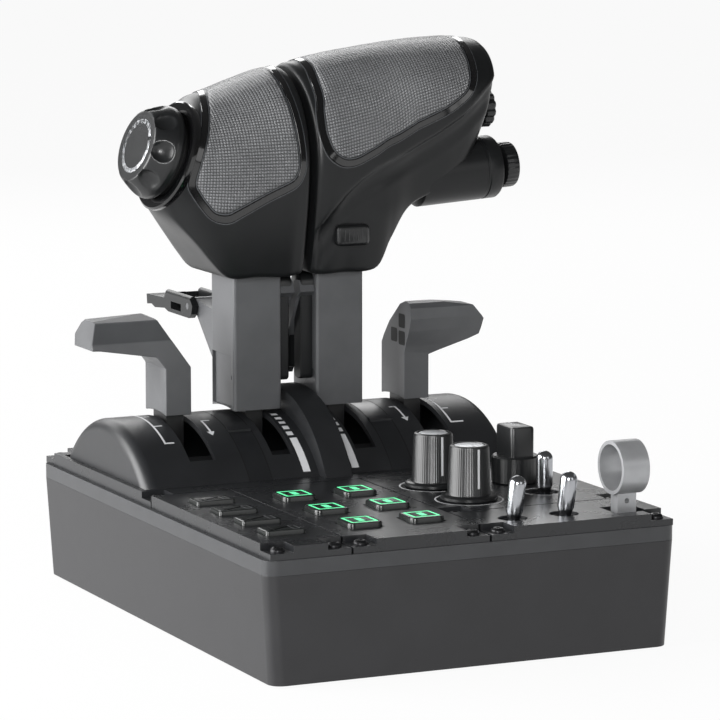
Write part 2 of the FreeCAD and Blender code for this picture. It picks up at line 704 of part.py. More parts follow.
def small_levers():
    """The two side levers: a square foot that bends outward into a handle."""
    half = s.small_width / 2
    front = s.pivot_y - s.small_depth / 2
    back = s.pivot_y + s.small_depth / 2
    inner = s.small_slot_x - half
    outer = s.small_slot_x + half
    foot = s.pivot_z + s.foot_start
    waist = s.pivot_z + s.small_waist
    crest = waist + s.handle_rise
    speed_front = [(inner, foot), (inner, waist), (inner + 8.4, waist + 12.5),
                   (inner + 18, crest - 2), (inner + 22, crest), (inner + 49, crest - 1.8),
                   (inner + 49, waist + 10), (inner + 44.8, waist + 9.8), (outer + 4, waist + 5.4),
                   (outer, waist), (outer, foot)]
    speed_side = [(front, foot), (front, waist), (front + 2.5, waist + 13),
                  (front - 1.5, crest - 2.5), (front + 7.5, crest), (front + 16.5, crest - 3.8),
                  (back - 1, crest - 10), (back, waist + 5), (back, foot)]
    flap_front = [(inner, foot), (outer, foot), (outer, waist - 1.5), (inner + 33, waist + 5.1),
                  (inner + 38.5, waist + 7.5), (inner + 39.5, crest - 10.5),
                  (inner + 33.5, crest - 3.5), (inner + 8, crest), (inner, crest)]
    flap_side = [(front, foot), (front, waist), (front - 1.7, waist + 4.5),
                 (front - 5, waist + 10.8), (front - 7.1, waist + 17), (front - 7, crest - 3.8),
                 (front - 5, crest - 1.5), (front - 0.7, crest - 0.7), (front + 5.3, crest - 2.7),
                 (front + 17.3, crest - 12.5), (back - 2.7, waist + 6.4), (back, waist + 2.3),
                 (back, foot)]
    for label, side, front_view, side_view in (
            ("speed_lever_handle", -1, speed_front, speed_side),
            ("flap_lever_handle", 1, flap_front, flap_side)):
        reach = s.dome_half + 30
        low, high = sorted((0 * reach, side * reach), key=float)
        solid = overlap(prism("XZ", mirror_points(front_view, side), front - 10, back + 5),
                        prism("YZ", side_view, low, high))
        space = arm_space(side * s.small_slot_x, s.small_arm_top)
        keep(cut(solid, foot_arc(low, high), space), label)


# ---------------------------------------------------------------- reverser levers

def reversers():
    y = s.reverser_y
    z = s.reverser_z
    outline = [(y - 6.5, z + 0.7), (y - 5.1, z - 3.4), (y - 2.1, z - 5.6), (y + 24.6, z - 5.5),
               (y + 29, z - 4.3), (y + 41.9, z - 5.5), (y + 46.4, z - 4.2), (y + 52.2, z - 4.9),
               (y + 52.9, z), (y + 30, z + 0.8), (y + 27.6, z + 3.4), (y - 4, z + 3.4)]
    arm = [(tower_back, z - 34), (y - 3, z - 3.6), (y - 2.4, z + 3.5), (tower_back, z)]
    strut = [(s.tower_front + 1.5, z + 12.5), (s.tower_front + 4, z + 18),
             (s.tower_front + 9.5, z + 17.4), (tower_back + 4.5, z - 26), (tower_back, z - 30),
             (s.tower_front + 6, z + 9.5)]
    for side, name in ((-1, "left"), (1, "right")):
        middle = side * s.tower_x
        half = s.reverser_width / 2
        tine = s.gusset_width / 2 + s.seat_gap
        paddle = prism("YZ", outline, middle - half, middle + half)
        fork = box(middle - tine, middle + tine, y - 12, y + s.gusset_tip + 1.3, z - 8, z + 8)
        trough = box(middle - s.rail_spread + s.rail_radius, middle + s.rail_spread - s.rail_radius,
                     y - 12, y + 27.6, z + 1, z + 8)
        window = box(middle - half, middle + half, y + 8, y + 21, z - 3.6, z)
        hole = rod("X", s.reverser_pin + s.running_gap, middle - half, middle + half, y, z)
        rails = [rod("Y", s.rail_radius, y - 3.9, y + 27.6, middle + edge * s.rail_spread, z + 3.4)
                 for edge in (-1, 1)]
        keep(cut(join(paddle, *rails), fork, trough, window, hole), "reverser_" + name)
        gusset = prism("YZ", arm, middle - s.gusset_width / 2, middle + s.gusset_width / 2)
        tip = rod("X", s.gusset_tip, middle - s.gusset_width / 2, middle + s.gusset_width / 2, y, z)
        pin = rod("X", s.reverser_pin, middle - half, middle + half, y, z)
        inner_face = side * (s.tower_x - s.tower_width / 2)
        low, high = sorted((inner_face, side * s.grip_gap / 2), key=float)
        knuckle = prism("YZ", strut, low, high)
        keep(group(join(gusset, tip, pin), knuckle), "reverser_mount_" + name)


# ---------------------------------------------------------------- grips

# Each row is one upright section of a grip: middle x, lean of its plane, front, back, floor and
# roof, height of its widest line, and where the floor starts and ends.
LEFT_GRIP = [
    (0.0, 0.00, 35.0, 106.0, 153.0, 248.6, 205, 44.5, 94),
    (4.5, 0.00, 33.6, 108.0, 152.0, 248.4, 205, 43.6, 95),
    (23.0, 0.00, 33.8, 107.0, 152.0, 243.5, 205, 43.6, 95),
    (38.0, 0.02, 34.6, 105.0, 152.9, 238.6, 205, 44.4, 92),
    (43.0, 0.06, 35.2, 102.0, 159.7, 237.6, 205, 45.0, 89),
    (48.0, 0.12, 36.0, 99.0, 168.2, 236.7, 205, 46.0, 86),
]
RIGHT_GRIP = [
    (0.0, 0.00, 35.0, 106.0, 153.0, 250.0, 205, 44.5, 94),
    (4.5, 0.00, 33.6, 108.0, 152.0, 251.0, 205, 43.6, 95),
    (19.0, 0.00, 34.0, 107.0, 152.0, 254.0, 208, 43.6, 95),
    (34.0, 0.00, 34.5, 106.0, 152.3, 256.2, 212, 44.0, 94),
    (43.0, 0.00, 34.8, 104.0, 166.0, 257.5, 216, 44.5, 92),
    (53.0, 0.00, 35.2, 101.0, 181.0, 259.0, 222, 45.5, 89),
    (75.0, 0.00, 36.0, 96.0, 191.5, 261.0, 228, 47.0, 85),
    (86.0, 0.10, 37.5, 92.0, 200.0, 261.0, 232, 49.0, 82),
    (91.4, 0.20, 41.0, 87.0, 207.5, 257.0, 234, 52.0, 78),
]
BELLY = 1.6      # how full the section is under its widest line


def section_points(front, back, floor, roof, waist, toe, heel):
    """Points round a section in (y, z), from its front bottom corner over the top."""
    crown = float(s.grip_crown)
    points = []
    for step in range(5):
        drop = 1 - step / 4.0
        points.append((front + (toe - front) * drop ** BELLY, waist - (waist - floor) * drop))
    for step in range(1, 8):
        angle = math.radians(180 - 22.5 * step)
        reach = crown - front if step < 4 else back - crown
        points.append((crown + reach * math.cos(angle), waist + (roof - waist) * math.sin(angle)))
    for step in range(5):
        drop = step / 4.0
        points.append((back - (back - heel) * drop ** BELLY, waist - (waist - floor) * drop))
    return points


def section_wire(points):
    """Spline over the top, straight edge along the floor."""
    spline = Part.BSplineCurve()
    spline.interpolate(points)
    return Part.Wire([spline.toShape(), Part.LineSegment(points[-1], points[0]).toShape()])


def grip_sections(side, rows, inset):
    wires = []
    start = float(s.grip_gap) / 2
    for index, (x, lean, front, back, floor, roof, waist, toe, heel) in enumerate(rows):
        along = x + (inset if index == 0 else 0)
        if index == len(rows) - 1 and rows is RIGHT_GRIP:
            along -= inset
        ring = section_points(front + inset, back - inset, floor + inset, roof - inset, waist,
                              toe + inset, heel - inset)
        wires.append(section_wire([Vector(side * (start + along - side_lean(lean, z, side)), y, z)
                                   for y, z in ring]))
    return wires


def side_lean(lean, z, side):
    """How far a leaning section stands back at a height; the right grip leans the other way."""
    return -side * lean * (z - float(s.collar_z))


collar = Vector(float(s.collar_x), float(s.collar_y), float(s.collar_z))
tilt = math.radians(float(s.end_knob_tilt))
knob_axis = Vector(-math.cos(tilt), -0.065, math.sin(tilt)).normalize()


def collar_wire(inset):
    """The round end of the left grip, as a ring in the same order as the sections."""
    across = knob_axis.cross(Vector(0, 0, 1)).normalize()
    if across.y > 0:
        across = across * -1
    rise = across.cross(knob_axis).normalize()
    if rise.z < 0:
        rise = rise * -1
    centre = collar - knob_axis * inset
    radius = float(s.collar_radius) - inset
    points = []
    for step in range(16):
        angle = math.radians(-70 + 320 * step / 15.0)
        points.append(centre + across * (radius * math.cos(angle))
                      + rise * (radius * math.sin(angle)))
    return section_wire(points)


def grip_solid(side, inset):
    if side < 0:
        wires = grip_sections(side, LEFT_GRIP, inset) + [collar_wire(inset)]
    else:
        wires = grip_sections(side, RIGHT_GRIP, inset)
    return Part.makeLoft(wires, True, False)


def solid_prism(outline, start, end):
    """An outline in (x, z) as a bar along Y."""
    corners = [Vector(x, start, z) for x, z in outline]
    return Part.Face(Part.makePolygon(corners + corners[:1])).extrude(Vector(0, end - start, 0))


LEFT_PANEL = [(-41, 252), (-47, 229), (-55, 211.5), (-59, 198), (-48.8, 184), (-42, 183.4),
              (-10.6, 199), (-8.4, 204), (-9.5, 227), (-9.5, 256)]
RIGHT_PANEL = [(10.5, 264), (8.5, 235), (8, 215), (11, 210), (15.7, 207.4), (22, 207.8),
               (69.9, 229.8), (81.4, 236.9), (84.2, 242.9), (87, 264)]


def straight_rod(start, direction, length, radius):
    return Part.makeCylinder(radius, length, start, direction)


def shape_of(obj):
    """The finished shape of a document object."""
    doc.recompute()
    return obj.Shape


barrel_tilt = math.radians(float(s.barrel_tilt))
barrel_axis = Vector(math.cos(barrel_tilt), 0, math.sin(barrel_tilt))
barrel_face = Vector(float(s.barrel_end), float(s.barrel_y), float(s.barrel_z))
barrel_length = float(s.barrel_end - s.barrel_start) / math.cos(barrel_tilt)
split = float(s.grip_crown)


def grip(side, panel, extras):
    """Front half, back half and textured front panel of one grip, flat at the tower's top."""
    name = "left" if side < 0 else "right"
    outer = grip_solid(side, 0)
    hollow = grip_solid(side, float(s.grip_wall))
    under_panel = grip_solid(side, float(s.panel_thickness))
    arm = shape_of(arm_space(side * s.main_slot_x, s.main_arm_top))
    skin = outer.cut(under_panel).common(solid_prism(panel, 0, split - 8))
    reach = 400
    below_floor = Part.makeBox(reach, reach, float(s.grip_floor),
                               Vector(-reach / 2, -reach / 2, 0))
    whole = outer.cut(hollow).cut(arm).cut(below_floor)
    for extra in extras:
        whole = whole.cut(extra)
    whole = whole.cut(skin)
    front = Part.makeBox(reach, reach, reach, Vector(-reach / 2, split - reach, 0))
    back = Part.makeBox(reach, reach, reach, Vector(-reach / 2, split, 0))
    shaped(biggest(whole.common(front)), "grip_%s_front" % name)
    shaped(biggest(whole.common(back)), "grip_%s_back" % name)
    shaped(biggest(skin), "grip_%s_panel" % name)


def biggest(shape):
    return max(shape.Solids, key=lambda solid: solid.Volume)


def flutes(start, direction, length, radius, count, depth):
    """Round grooves along the rim of a knob."""
    side = direction.cross(Vector(0, 1, 0)).normalize()
    cutters = []
    for step in range(count):
        spoke = FreeCAD.Rotation(direction, 360.0 * step / count).multVec(side)
        centre = start + spoke * (radius + depth * 1.5)
        cutters.append(straight_rod(centre, direction, length, depth * 2.5))
    return cutters


def end_knob():
    """Fluted, tapering knob on the round end of the left grip, on its own shaft."""
    foot = collar + knob_axis * float(s.end_knob_gap)
    length = float(s.end_knob_length)
    knob = Part.makeCone(float(s.end_knob_radius), float(s.end_knob_face), length, foot, knob_axis)
    for cutter in flutes(foot, knob_axis, length, float(s.end_knob_radius), 8, 1.2):
        knob = knob.cut(cutter)
    shaft_start = collar - knob_axis * (float(s.grip_wall) + 2)
    shaft = straight_rod(shaft_start, knob_axis, float(s.end_knob_gap + s.grip_wall) + 3,
                         float(s.end_knob_shaft))
    shaped(knob.fuse(shaft).removeSplitter(), "end_knob")
    return straight_rod(shaft_start - knob_axis, knob_axis, 20,
                        float(s.end_knob_shaft + s.running_gap))


def brake_barrel():
    """The round barrel under the right handle, and the knob on its end."""
    start = barrel_face - barrel_axis * barrel_length
    radius = float(s.barrel_radius)
    barrel = straight_rod(start, barrel_axis, barrel_length, radius)
    shaft = float(s.barrel_shaft)
    bore_depth = 12
    socket = straight_rod(barrel_face - barrel_axis * bore_depth, barrel_axis, bore_depth,
                          shaft + float(s.running_gap))
    shaped(barrel.cut(socket), "brake_barrel")
    knob_start = barrel_face + barrel_axis * float(s.barrel_knob_gap)
    knob = straight_rod(knob_start, barrel_axis, float(s.barrel_knob_length),
                        float(s.barrel_knob_radius))
    for cutter in flutes(knob_start, barrel_axis, float(s.barrel_knob_length),
                         float(s.barrel_knob_radius), 12, 0.5):
        knob = knob.cut(cutter)
    stem = straight_rod(barrel_face - barrel_axis * (bore_depth - 0.3), barrel_axis,
                        bore_depth + float(s.barrel_knob_gap) + 1, shaft)
    shaped(knob.fuse(stem).removeSplitter(), "barrel_knob")
    return straight_rod(start, barrel_axis, barrel_length + 20, radius)


# middle of the right grip's end face along X
grip_end = float(s.grip_gap) / 2 + RIGHT_GRIP[-1][0]
hat_depth = float(s.hat_depth)


def end_face_x(z):
    """Where the leaning end face of the right grip lies at a height."""
    lean = RIGHT_GRIP[-1][1]
    return grip_end + lean * (float(z) - float(s.collar_z))


def hats():
    """Push button and tilting hat on the end of the right handle; returns their sockets."""
    upper_x = end_face_x(s.hat_upper_z)
    lower_x = end_face_x(s.hat_lower_z)
    x_axis = Vector(1, 0, 0)
    upper = straight_rod(Vector(upper_x - hat_depth, float(s.hat_y), float(s.hat_upper_z)),
                         x_axis, hat_depth + float(s.hat_upper_rise), float(s.hat_upper_radius))
    shaped(upper, "hat_upper")
    pivot = Vector(lower_x + 1, float(s.hat_y), float(s.hat_lower_z))
    cap_length = float(s.hat_cap)
    neck_length = float(s.hat_lower_rise) - 1 - cap_length
    cap_start = pivot + x_axis * neck_length
    cap = straight_rod(cap_start, x_axis, cap_length, float(s.hat_lower_radius))
    for cutter in flutes(cap_start, x_axis, cap_length, float(s.hat_lower_radius), 12, 0.5):
        cap = cap.cut(cutter)
    neck = straight_rod(pivot - x_axis * 3, x_axis, neck_length + 4, float(s.hat_neck))
    shaped(cap.fuse(neck).removeSplitter(), "hat_lower")
    upper_hole = straight_rod(Vector(upper_x - hat_depth - 3, float(s.hat_y),
                                     float(s.hat_upper_z)),
                              x_axis, 30, float(s.hat_upper_radius + s.running_gap))
    lower_hole = straight_rod(pivot - x_axis * 8, x_axis, 30, float(s.hat_neck) + 0.6)
    return upper_hole, lower_hole


def slide_button():
    """Ribbed thumb slide on the front of the right grip; returns its track."""
    half = s.slide_width / 2
    front = s.slide_front
    keep(box(s.slide_x - half, s.slide_x + half, front, front + s.slide_depth,
             s.slide_z - s.slide_height / 2, s.slide_z + s.slide_height / 2), "slide_button")
    play = half + s.slide_travel + s.seat_gap
    rise = s.slide_height / 2 + s.seat_gap
    return shape_of(box(s.slide_x - play, s.slide_x + play, front - 20,
                        front + s.slide_depth + s.seat_gap, s.slide_z - rise, s.slide_z + rise))


# ---------------------------------------------------------------- keys, knobs and switches

def key(label, x, y, width, depth, rise, rounding):
    x0 = x - width / 2
    y0 = y - depth / 2
    cap = slab(x0, x0 + width, y0, y0 + depth, rim_top + s.key_travel + 2 * s.seat_gap,
               plate_top + rise, rounding)

    def top_edge(edge):
        return all(abs(v.Point.z - float(plate_top + rise)) < 0.01 for v in edge.Vertexes)

    keep(round_edges(cap, 0.5, top_edge), label)


def keys():
    for number, (x, y) in enumerate(key_places, start=1):
        key("key_%d" % number, x, y, s.key_width, s.key_depth, s.key_rise, s.key_round)
    for number, (x, y) in enumerate(small_key_places, start=1):
        key("small_key_%d" % number, x, y, s.small_key_width, s.small_key_depth,
            s.small_key_rise, 1 + 0 * s.key_round)


def knobs():
    foot = plate_top + s.seat_gap
    for label, (x, y) in knob_places.items():
        skirt = rod("Z", s.knob_foot, foot, foot + s.knob_skirt, x, y)
        grip_part = cone(s.knob_radius + 1, s.knob_radius, foot, foot + s.knob_height, x, y)
        shaft = rod("Z", s.knob_shaft, rim_top + s.seat_gap, foot + 5, x, y)
        keep(join(skirt, grip_part, shaft), label)
    disc = rod("Z", s.selector_radius, foot, foot + s.selector_step, s.selector_x, selector_y)
    bar = block(s.selector_x, selector_y, s.selector_bar, s.selector_length, foot,
                foot + s.selector_height)
    shaft = rod("Z", s.knob_shaft, rim_top + s.seat_gap, foot + 5, s.selector_x, selector_y)
    keep(join(disc, bar, shaft), "selector_knob")


toggle_pivot = rim_top + s.toggle_ball + s.seat_gap


def toggles():
    """Bat handles on a ball in the panel hole; the front two rest leaning to the right."""
    for label, (x, y) in toggle_places.items():
        tip = plate_top + s.toggle_height - s.toggle_radius
        bat = join(ball(s.toggle_ball, x, y, toggle_pivot),
                   cone(s.toggle_ball * 0.8, s.toggle_radius, toggle_pivot, plate_top + 2, x, y),
                   rod("Z", s.toggle_radius, plate_top + 2, tip, x, y),
                   ball(s.toggle_radius, x, y, tip))
        if label == "toggle_c":
            keep(bat, label)
            continue
        leaning = doc.addObject("Part::Compound", "leaning")
        leaning.Links = [bat]
        spin = turn((0, 1, 0), float(s.toggle_lean))
        pivot = Vector(float(x), float(y), float(toggle_pivot))
        leaning.Placement = FreeCAD.Placement(pivot - spin.multVec(pivot), spin)
        keep(leaning, label)


def gear_lever():
    """A round ring on a flat stem, turning on a pin under the panel."""
    half = s.gear_ring_length / 2
    height = plate_top + s.gear_ring_height
    pivot = plate_top - s.gear_pivot_drop
    ring = rod("X", s.gear_ring, gear_x - half, gear_x + half, gear_y, height)
    eye = rod("X", s.gear_ring - s.gear_ring_wall, gear_x - half, gear_x + half, gear_y,
              height)
    stem = block(gear_x, gear_y, s.gear_stem_width, s.gear_stem_depth,
                 pivot - s.gear_stem_depth / 2, height - s.gear_ring + s.gear_ring_wall / 2)
    hole = rod("X", s.gear_pin + s.running_gap, gear_x - half, gear_x + half, gear_y, pivot)
    cross_hole = rod("Y", 1.15, gear_y - 10, gear_y + 10, gear_x, plate_top + 4.2)
    keep(cut(join(ring, stem), eye, hole, cross_hole), "gear_lever")


# ---------------------------------------------------------------- inside the base

board_left = s.board_gap - inner_x
board_right = s.seam_middle - 5
board_front = key_row - s.key_row_pitch - 18
board_back = key_row + s.key_row_pitch + 20
board_corners = [(x, y) for x in (board_left + s.post_inset, board_right - s.post_inset)
                 for y in (board_front + s.post_inset, board_back - s.post_inset)]
usb_board_back = inner_back - 0.5
usb_post_y = usb_board_back - 16
board_top = s.board_z + s.board_thickness


def boards():
    """Main board, and the small board that carries the socket in the back wall."""
    main = box(board_left, board_right, board_front, board_back, s.board_z, board_top)
    rear = box(s.usb_x - 12, s.usb_x + 12, usb_board_back - 20, usb_board_back,
               s.usb_z - s.board_thickness, s.usb_z)
    body = box(s.usb_x - s.usb_width / 2, s.usb_x + s.usb_width / 2, usb_back - s.usb_length,
               usb_back, usb_low, usb_high)
    mouth = box(s.usb_x - s.usb_width / 2 + 0.5, s.usb_x + s.usb_width / 2 - 0.5, usb_back - 7,
                usb_back, usb_low + 0.5, usb_high - 0.5)
    keep(group(main, join(rear, cut(body, mouth))), "main_board")


def panel_switches():
    """The switch and sensor bodies under every control."""
    bodies = []
    switch_top = rim_top + s.seat_gap
    for x, y in key_places:
        bodies.append(block(x, y, s.switch_width, s.switch_width, board_top, switch_top))
    for x, y in small_key_places:
        bodies.append(block(x, y, s.switch_width, s.switch_width - 4, board_top, switch_top))
    for x, y in knob_places.values():
        bodies.append(rod("Z", s.knob_radius - 1, rim_top - 11, rim_top, x, y))
    bodies.append(rod("Z", s.selector_radius - 1, rim_top - 14, rim_top, s.selector_x,
                      selector_y))
    for x, y in toggle_places.values():
        bodies.append(block(x, y, 2 * s.toggle_hole + 1, 11, rim_top - 13, rim_top))
    pivot = plate_top - s.gear_pivot_drop
    cheek = s.gear_slot / 2 + 2
    pin = rod("X", s.gear_pin, gear_x - cheek, gear_x + cheek, gear_y, pivot)
    sides = []
    for side in (-1, 1):
        low, high = sorted((gear_x + side * s.gear_slot / 2, gear_x + side * cheek), key=float)
        sides.append(box(low, high, gear_y - 5, gear_y + 5, pivot - 4, rim_top))
        inner = gear_x + side * (s.gear_stem_width / 2 + s.seat_gap)
        low, high = sorted((inner, gear_x + side * cheek), key=float)
        sides.append(rod("X", s.gear_pin * 2, low, high, gear_y, pivot))
    bodies.append(join(pin, *sides))
    keep(group(*bodies), "panel_switches")


# ---------------------------------------------------------------- everything, in order

base_tub()
base_rim()
bottom_plate()
rubber_feet()
case_screws()
top_plates()
dome()
pivots()
arms()
towers()
small_levers()
reversers()
knob_bore = end_knob()
barrel_space = brake_barrel()
hat_holes = hats()
slide_track = slide_button()
grip(-1, LEFT_PANEL, [knob_bore])
grip(1, RIGHT_PANEL, [barrel_space, slide_track] + list(hat_holes))
keys()
knobs()
toggles()
gear_lever()
boards()
panel_switches()
doc.recompute()

for obj in doc.Objects:
    if "Invalid" in obj.State or "Error" in obj.State:
        raise RuntimeError("%s failed: %s" % (obj.Label, obj.State))
os.makedirs("parts", exist_ok=True)
for obj in parts:
    if obj.Shape.isNull() or not obj.Shape.isValid():
        raise RuntimeError("%s has no valid shape" % obj.Label)
    obj.Shape.exportStep("parts/%s.step" % obj.Label)
print("%d sub-parts" % len(parts))
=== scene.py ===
import json
import math

import bmesh
import bpy
from mathutils import Matrix, Vector, geometry
from mathutils.bvhtree import BVHTree

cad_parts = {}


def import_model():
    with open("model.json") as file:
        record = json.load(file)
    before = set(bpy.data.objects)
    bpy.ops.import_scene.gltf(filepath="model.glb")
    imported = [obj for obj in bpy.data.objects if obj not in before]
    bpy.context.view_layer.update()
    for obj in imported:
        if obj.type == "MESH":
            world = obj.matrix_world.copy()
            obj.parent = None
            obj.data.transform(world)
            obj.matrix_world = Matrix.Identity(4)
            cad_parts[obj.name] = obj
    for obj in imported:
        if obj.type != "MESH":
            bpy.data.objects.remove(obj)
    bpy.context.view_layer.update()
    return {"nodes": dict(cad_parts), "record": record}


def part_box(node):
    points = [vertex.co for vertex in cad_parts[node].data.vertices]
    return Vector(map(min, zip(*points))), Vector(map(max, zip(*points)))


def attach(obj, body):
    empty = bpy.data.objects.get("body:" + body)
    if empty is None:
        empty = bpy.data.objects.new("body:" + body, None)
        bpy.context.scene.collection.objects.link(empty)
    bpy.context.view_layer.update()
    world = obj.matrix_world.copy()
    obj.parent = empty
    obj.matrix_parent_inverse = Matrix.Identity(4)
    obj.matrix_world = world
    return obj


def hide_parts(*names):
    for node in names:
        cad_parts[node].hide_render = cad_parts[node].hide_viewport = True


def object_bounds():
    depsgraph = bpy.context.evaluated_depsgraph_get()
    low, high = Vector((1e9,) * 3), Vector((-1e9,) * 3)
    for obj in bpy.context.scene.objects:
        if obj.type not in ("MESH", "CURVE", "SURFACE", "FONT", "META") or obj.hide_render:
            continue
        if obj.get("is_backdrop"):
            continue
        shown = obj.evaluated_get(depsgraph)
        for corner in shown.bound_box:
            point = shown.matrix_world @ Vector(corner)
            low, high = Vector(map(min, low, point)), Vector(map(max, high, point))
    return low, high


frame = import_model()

# Looks of the throttle quadrant.  Lengths in the tables are millimetres and become metres in mm().
NODES = frame["nodes"]
BODY_OF = {node: body for body, members in frame["record"]["behaviour"]["bodies"].items()
           for node in members}
SLOT_OF = {entry["node"]: entry["material_slot"] for entry in frame["record"]["subparts"]}
UP = Vector((0, 0, 1))


def mm(x, y=None, z=None):
    """Millimetres to metres, for a number or a point."""
    if y is None:
        return x * 0.001
    return Vector((x, y, z)) * 0.001


def node_mm(node):
    """Lowest and highest corner of a CAD node in millimetres."""
    low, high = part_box(node)
    return low * 1000, high * 1000


# ---------------------------------------------------------------- materials

def linear(value):
    value /= 255.0
    return value / 12.92 if value <= 0.04045 else ((value + 0.055) / 1.055) ** 2.4


def colour(r, g, b):
    return (linear(r), linear(g), linear(b), 1.0)


def surface(name, rgb, roughness, metallic=0.0, spread=0.12, grain=1400, height=0.05,
            coat=0.0, shine=0.5):
    """A procedural finish: mottled colour, uneven gloss and a fine grain in the normal."""
    material = bpy.data.materials.new(name)
    material.use_nodes = True
    nodes = material.node_tree.nodes
    links = material.node_tree.links
    shader = nodes["Principled BSDF"]
    shader.inputs["Metallic"].default_value = metallic
    shader.inputs["Coat Weight"].default_value = coat
    shader.inputs["Coat Roughness"].default_value = 0.08
    shader.inputs["Specular IOR Level"].default_value = shine
    place = nodes.new("ShaderNodeTexCoord")
    mottle = nodes.new("ShaderNodeTexNoise")
    mottle.inputs["Scale"].default_value = 60
    mottle.inputs["Detail"].default_value = 4
    links.new(place.outputs["Object"], mottle.inputs["Vector"])
    ramp = nodes.new("ShaderNodeValToRGB")
    base = colour(*rgb)
    ramp.color_ramp.elements[0].position = 0.3
    ramp.color_ramp.elements[1].position = 0.7
    ramp.color_ramp.elements[0].color = [c * (1 - spread) for c in base[:3]] + [1]
    ramp.color_ramp.elements[1].color = [min(1, c * (1 + spread)) for c in base[:3]] + [1]
    links.new(mottle.outputs["Fac"], ramp.inputs["Fac"])
    links.new(ramp.outputs["Color"], shader.inputs["Base Color"])
    gloss = nodes.new("ShaderNodeMapRange")
    gloss.inputs["To Min"].default_value = max(0.03, roughness - 0.05)
    gloss.inputs["To Max"].default_value = min(1.0, roughness + 0.05)
    links.new(mottle.outputs["Fac"], gloss.inputs["Value"])
    links.new(gloss.outputs["Result"], shader.inputs["Roughness"])
    fine = nodes.new("ShaderNodeTexNoise")
    fine.inputs["Scale"].default_value = grain
    fine.inputs["Detail"].default_value = 2
    links.new(place.outputs["Object"], fine.inputs["Vector"])
    bump = nodes.new("ShaderNodeBump")
    bump.inputs["Strength"].default_value = height
    bump.inputs["Distance"].default_value = 0.0003
    links.new(fine.outputs["Fac"], bump.inputs["Height"])
    links.new(bump.outputs["Normal"], shader.inputs["Normal"])
    return material


CUSHION_PITCH = mm(1.45)
CUSHION_DEPTH = mm(0.45)


def add_cushions(material, pitch, depth):
    """Small square cushions over the grain, set out on the panel's own flat layout, with painted
    shade in the grooves between cushions and a painted highlight on their tops.
    """
    nodes = material.node_tree.nodes
    links = material.node_tree.links
    shader = nodes["Principled BSDF"]
    place = nodes.new("ShaderNodeTexCoord")
    parts = nodes.new("ShaderNodeSeparateXYZ")
    links.new(place.outputs["UV"], parts.inputs["Vector"])
    waves = []
    for axis in ("X", "Y"):
        steps = [("MULTIPLY", math.pi / pitch), ("SINE", None), ("ABSOLUTE", None)]
        source = parts.outputs[axis]
        for operation, number in steps:
            node = nodes.new("ShaderNodeMath")
            node.operation = operation
            if number is not None:
                node.inputs[1].default_value = number
            links.new(source, node.inputs[0])
            source = node.outputs["Value"]
        waves.append(source)
    product = nodes.new("ShaderNodeMath")
    product.operation = "MULTIPLY"
    links.new(waves[0], product.inputs[0])
    links.new(waves[1], product.inputs[1])
    cushion = nodes.new("ShaderNodeMath")
    cushion.operation = "POWER"
    cushion.inputs[1].default_value = 0.6
    links.new(product.outputs["Value"], cushion.inputs[0])
    before = shader.inputs["Normal"].links[0].from_socket
    bump = nodes.new("ShaderNodeBump")
    bump.inputs["Strength"].default_value = 1.0
    bump.inputs["Distance"].default_value = depth
    links.new(cushion.outputs["Value"], bump.inputs["Height"])
    links.new(before, bump.inputs["Normal"])
    links.new(bump.outputs["Normal"], shader.inputs["Normal"])
    # painted shade and highlight: the base colour is scaled by cushion height, darker in the
    # grooves and lighter on the tops
    shade = nodes.new("ShaderNodeMapRange")
    shade.inputs["To Min"].default_value = 0.25
    shade.inputs["To Max"].default_value = 1.2
    links.new(cushion.outputs["Value"], shade.inputs["Value"])
    cushion_painted_light = nodes.new("ShaderNodeMix")
    cushion_painted_light.data_type = "RGBA"
    cushion_painted_light.blend_type = "MULTIPLY"
    cushion_painted_light.inputs["Factor"].default_value = 1.0
    links.new(shader.inputs["Base Color"].links[0].from_socket, cushion_painted_light.inputs["A"])
    links.new(shade.outputs["Result"], cushion_painted_light.inputs["B"])
    links.new(cushion_painted_light.outputs["Result"], shader.inputs["Base Color"])
    return material


def glow(name, rgb, strength):
    """A lit legend: coloured plastic with light of its own, a little uneven."""
    material = surface(name, rgb, 0.4, spread=0.05)
    nodes = material.node_tree.nodes
    shader = nodes["Principled BSDF"]
    shader.inputs["Emission Color"].default_value = colour(*rgb)
    shader.inputs["Emission Strength"].default_value = strength
    return material


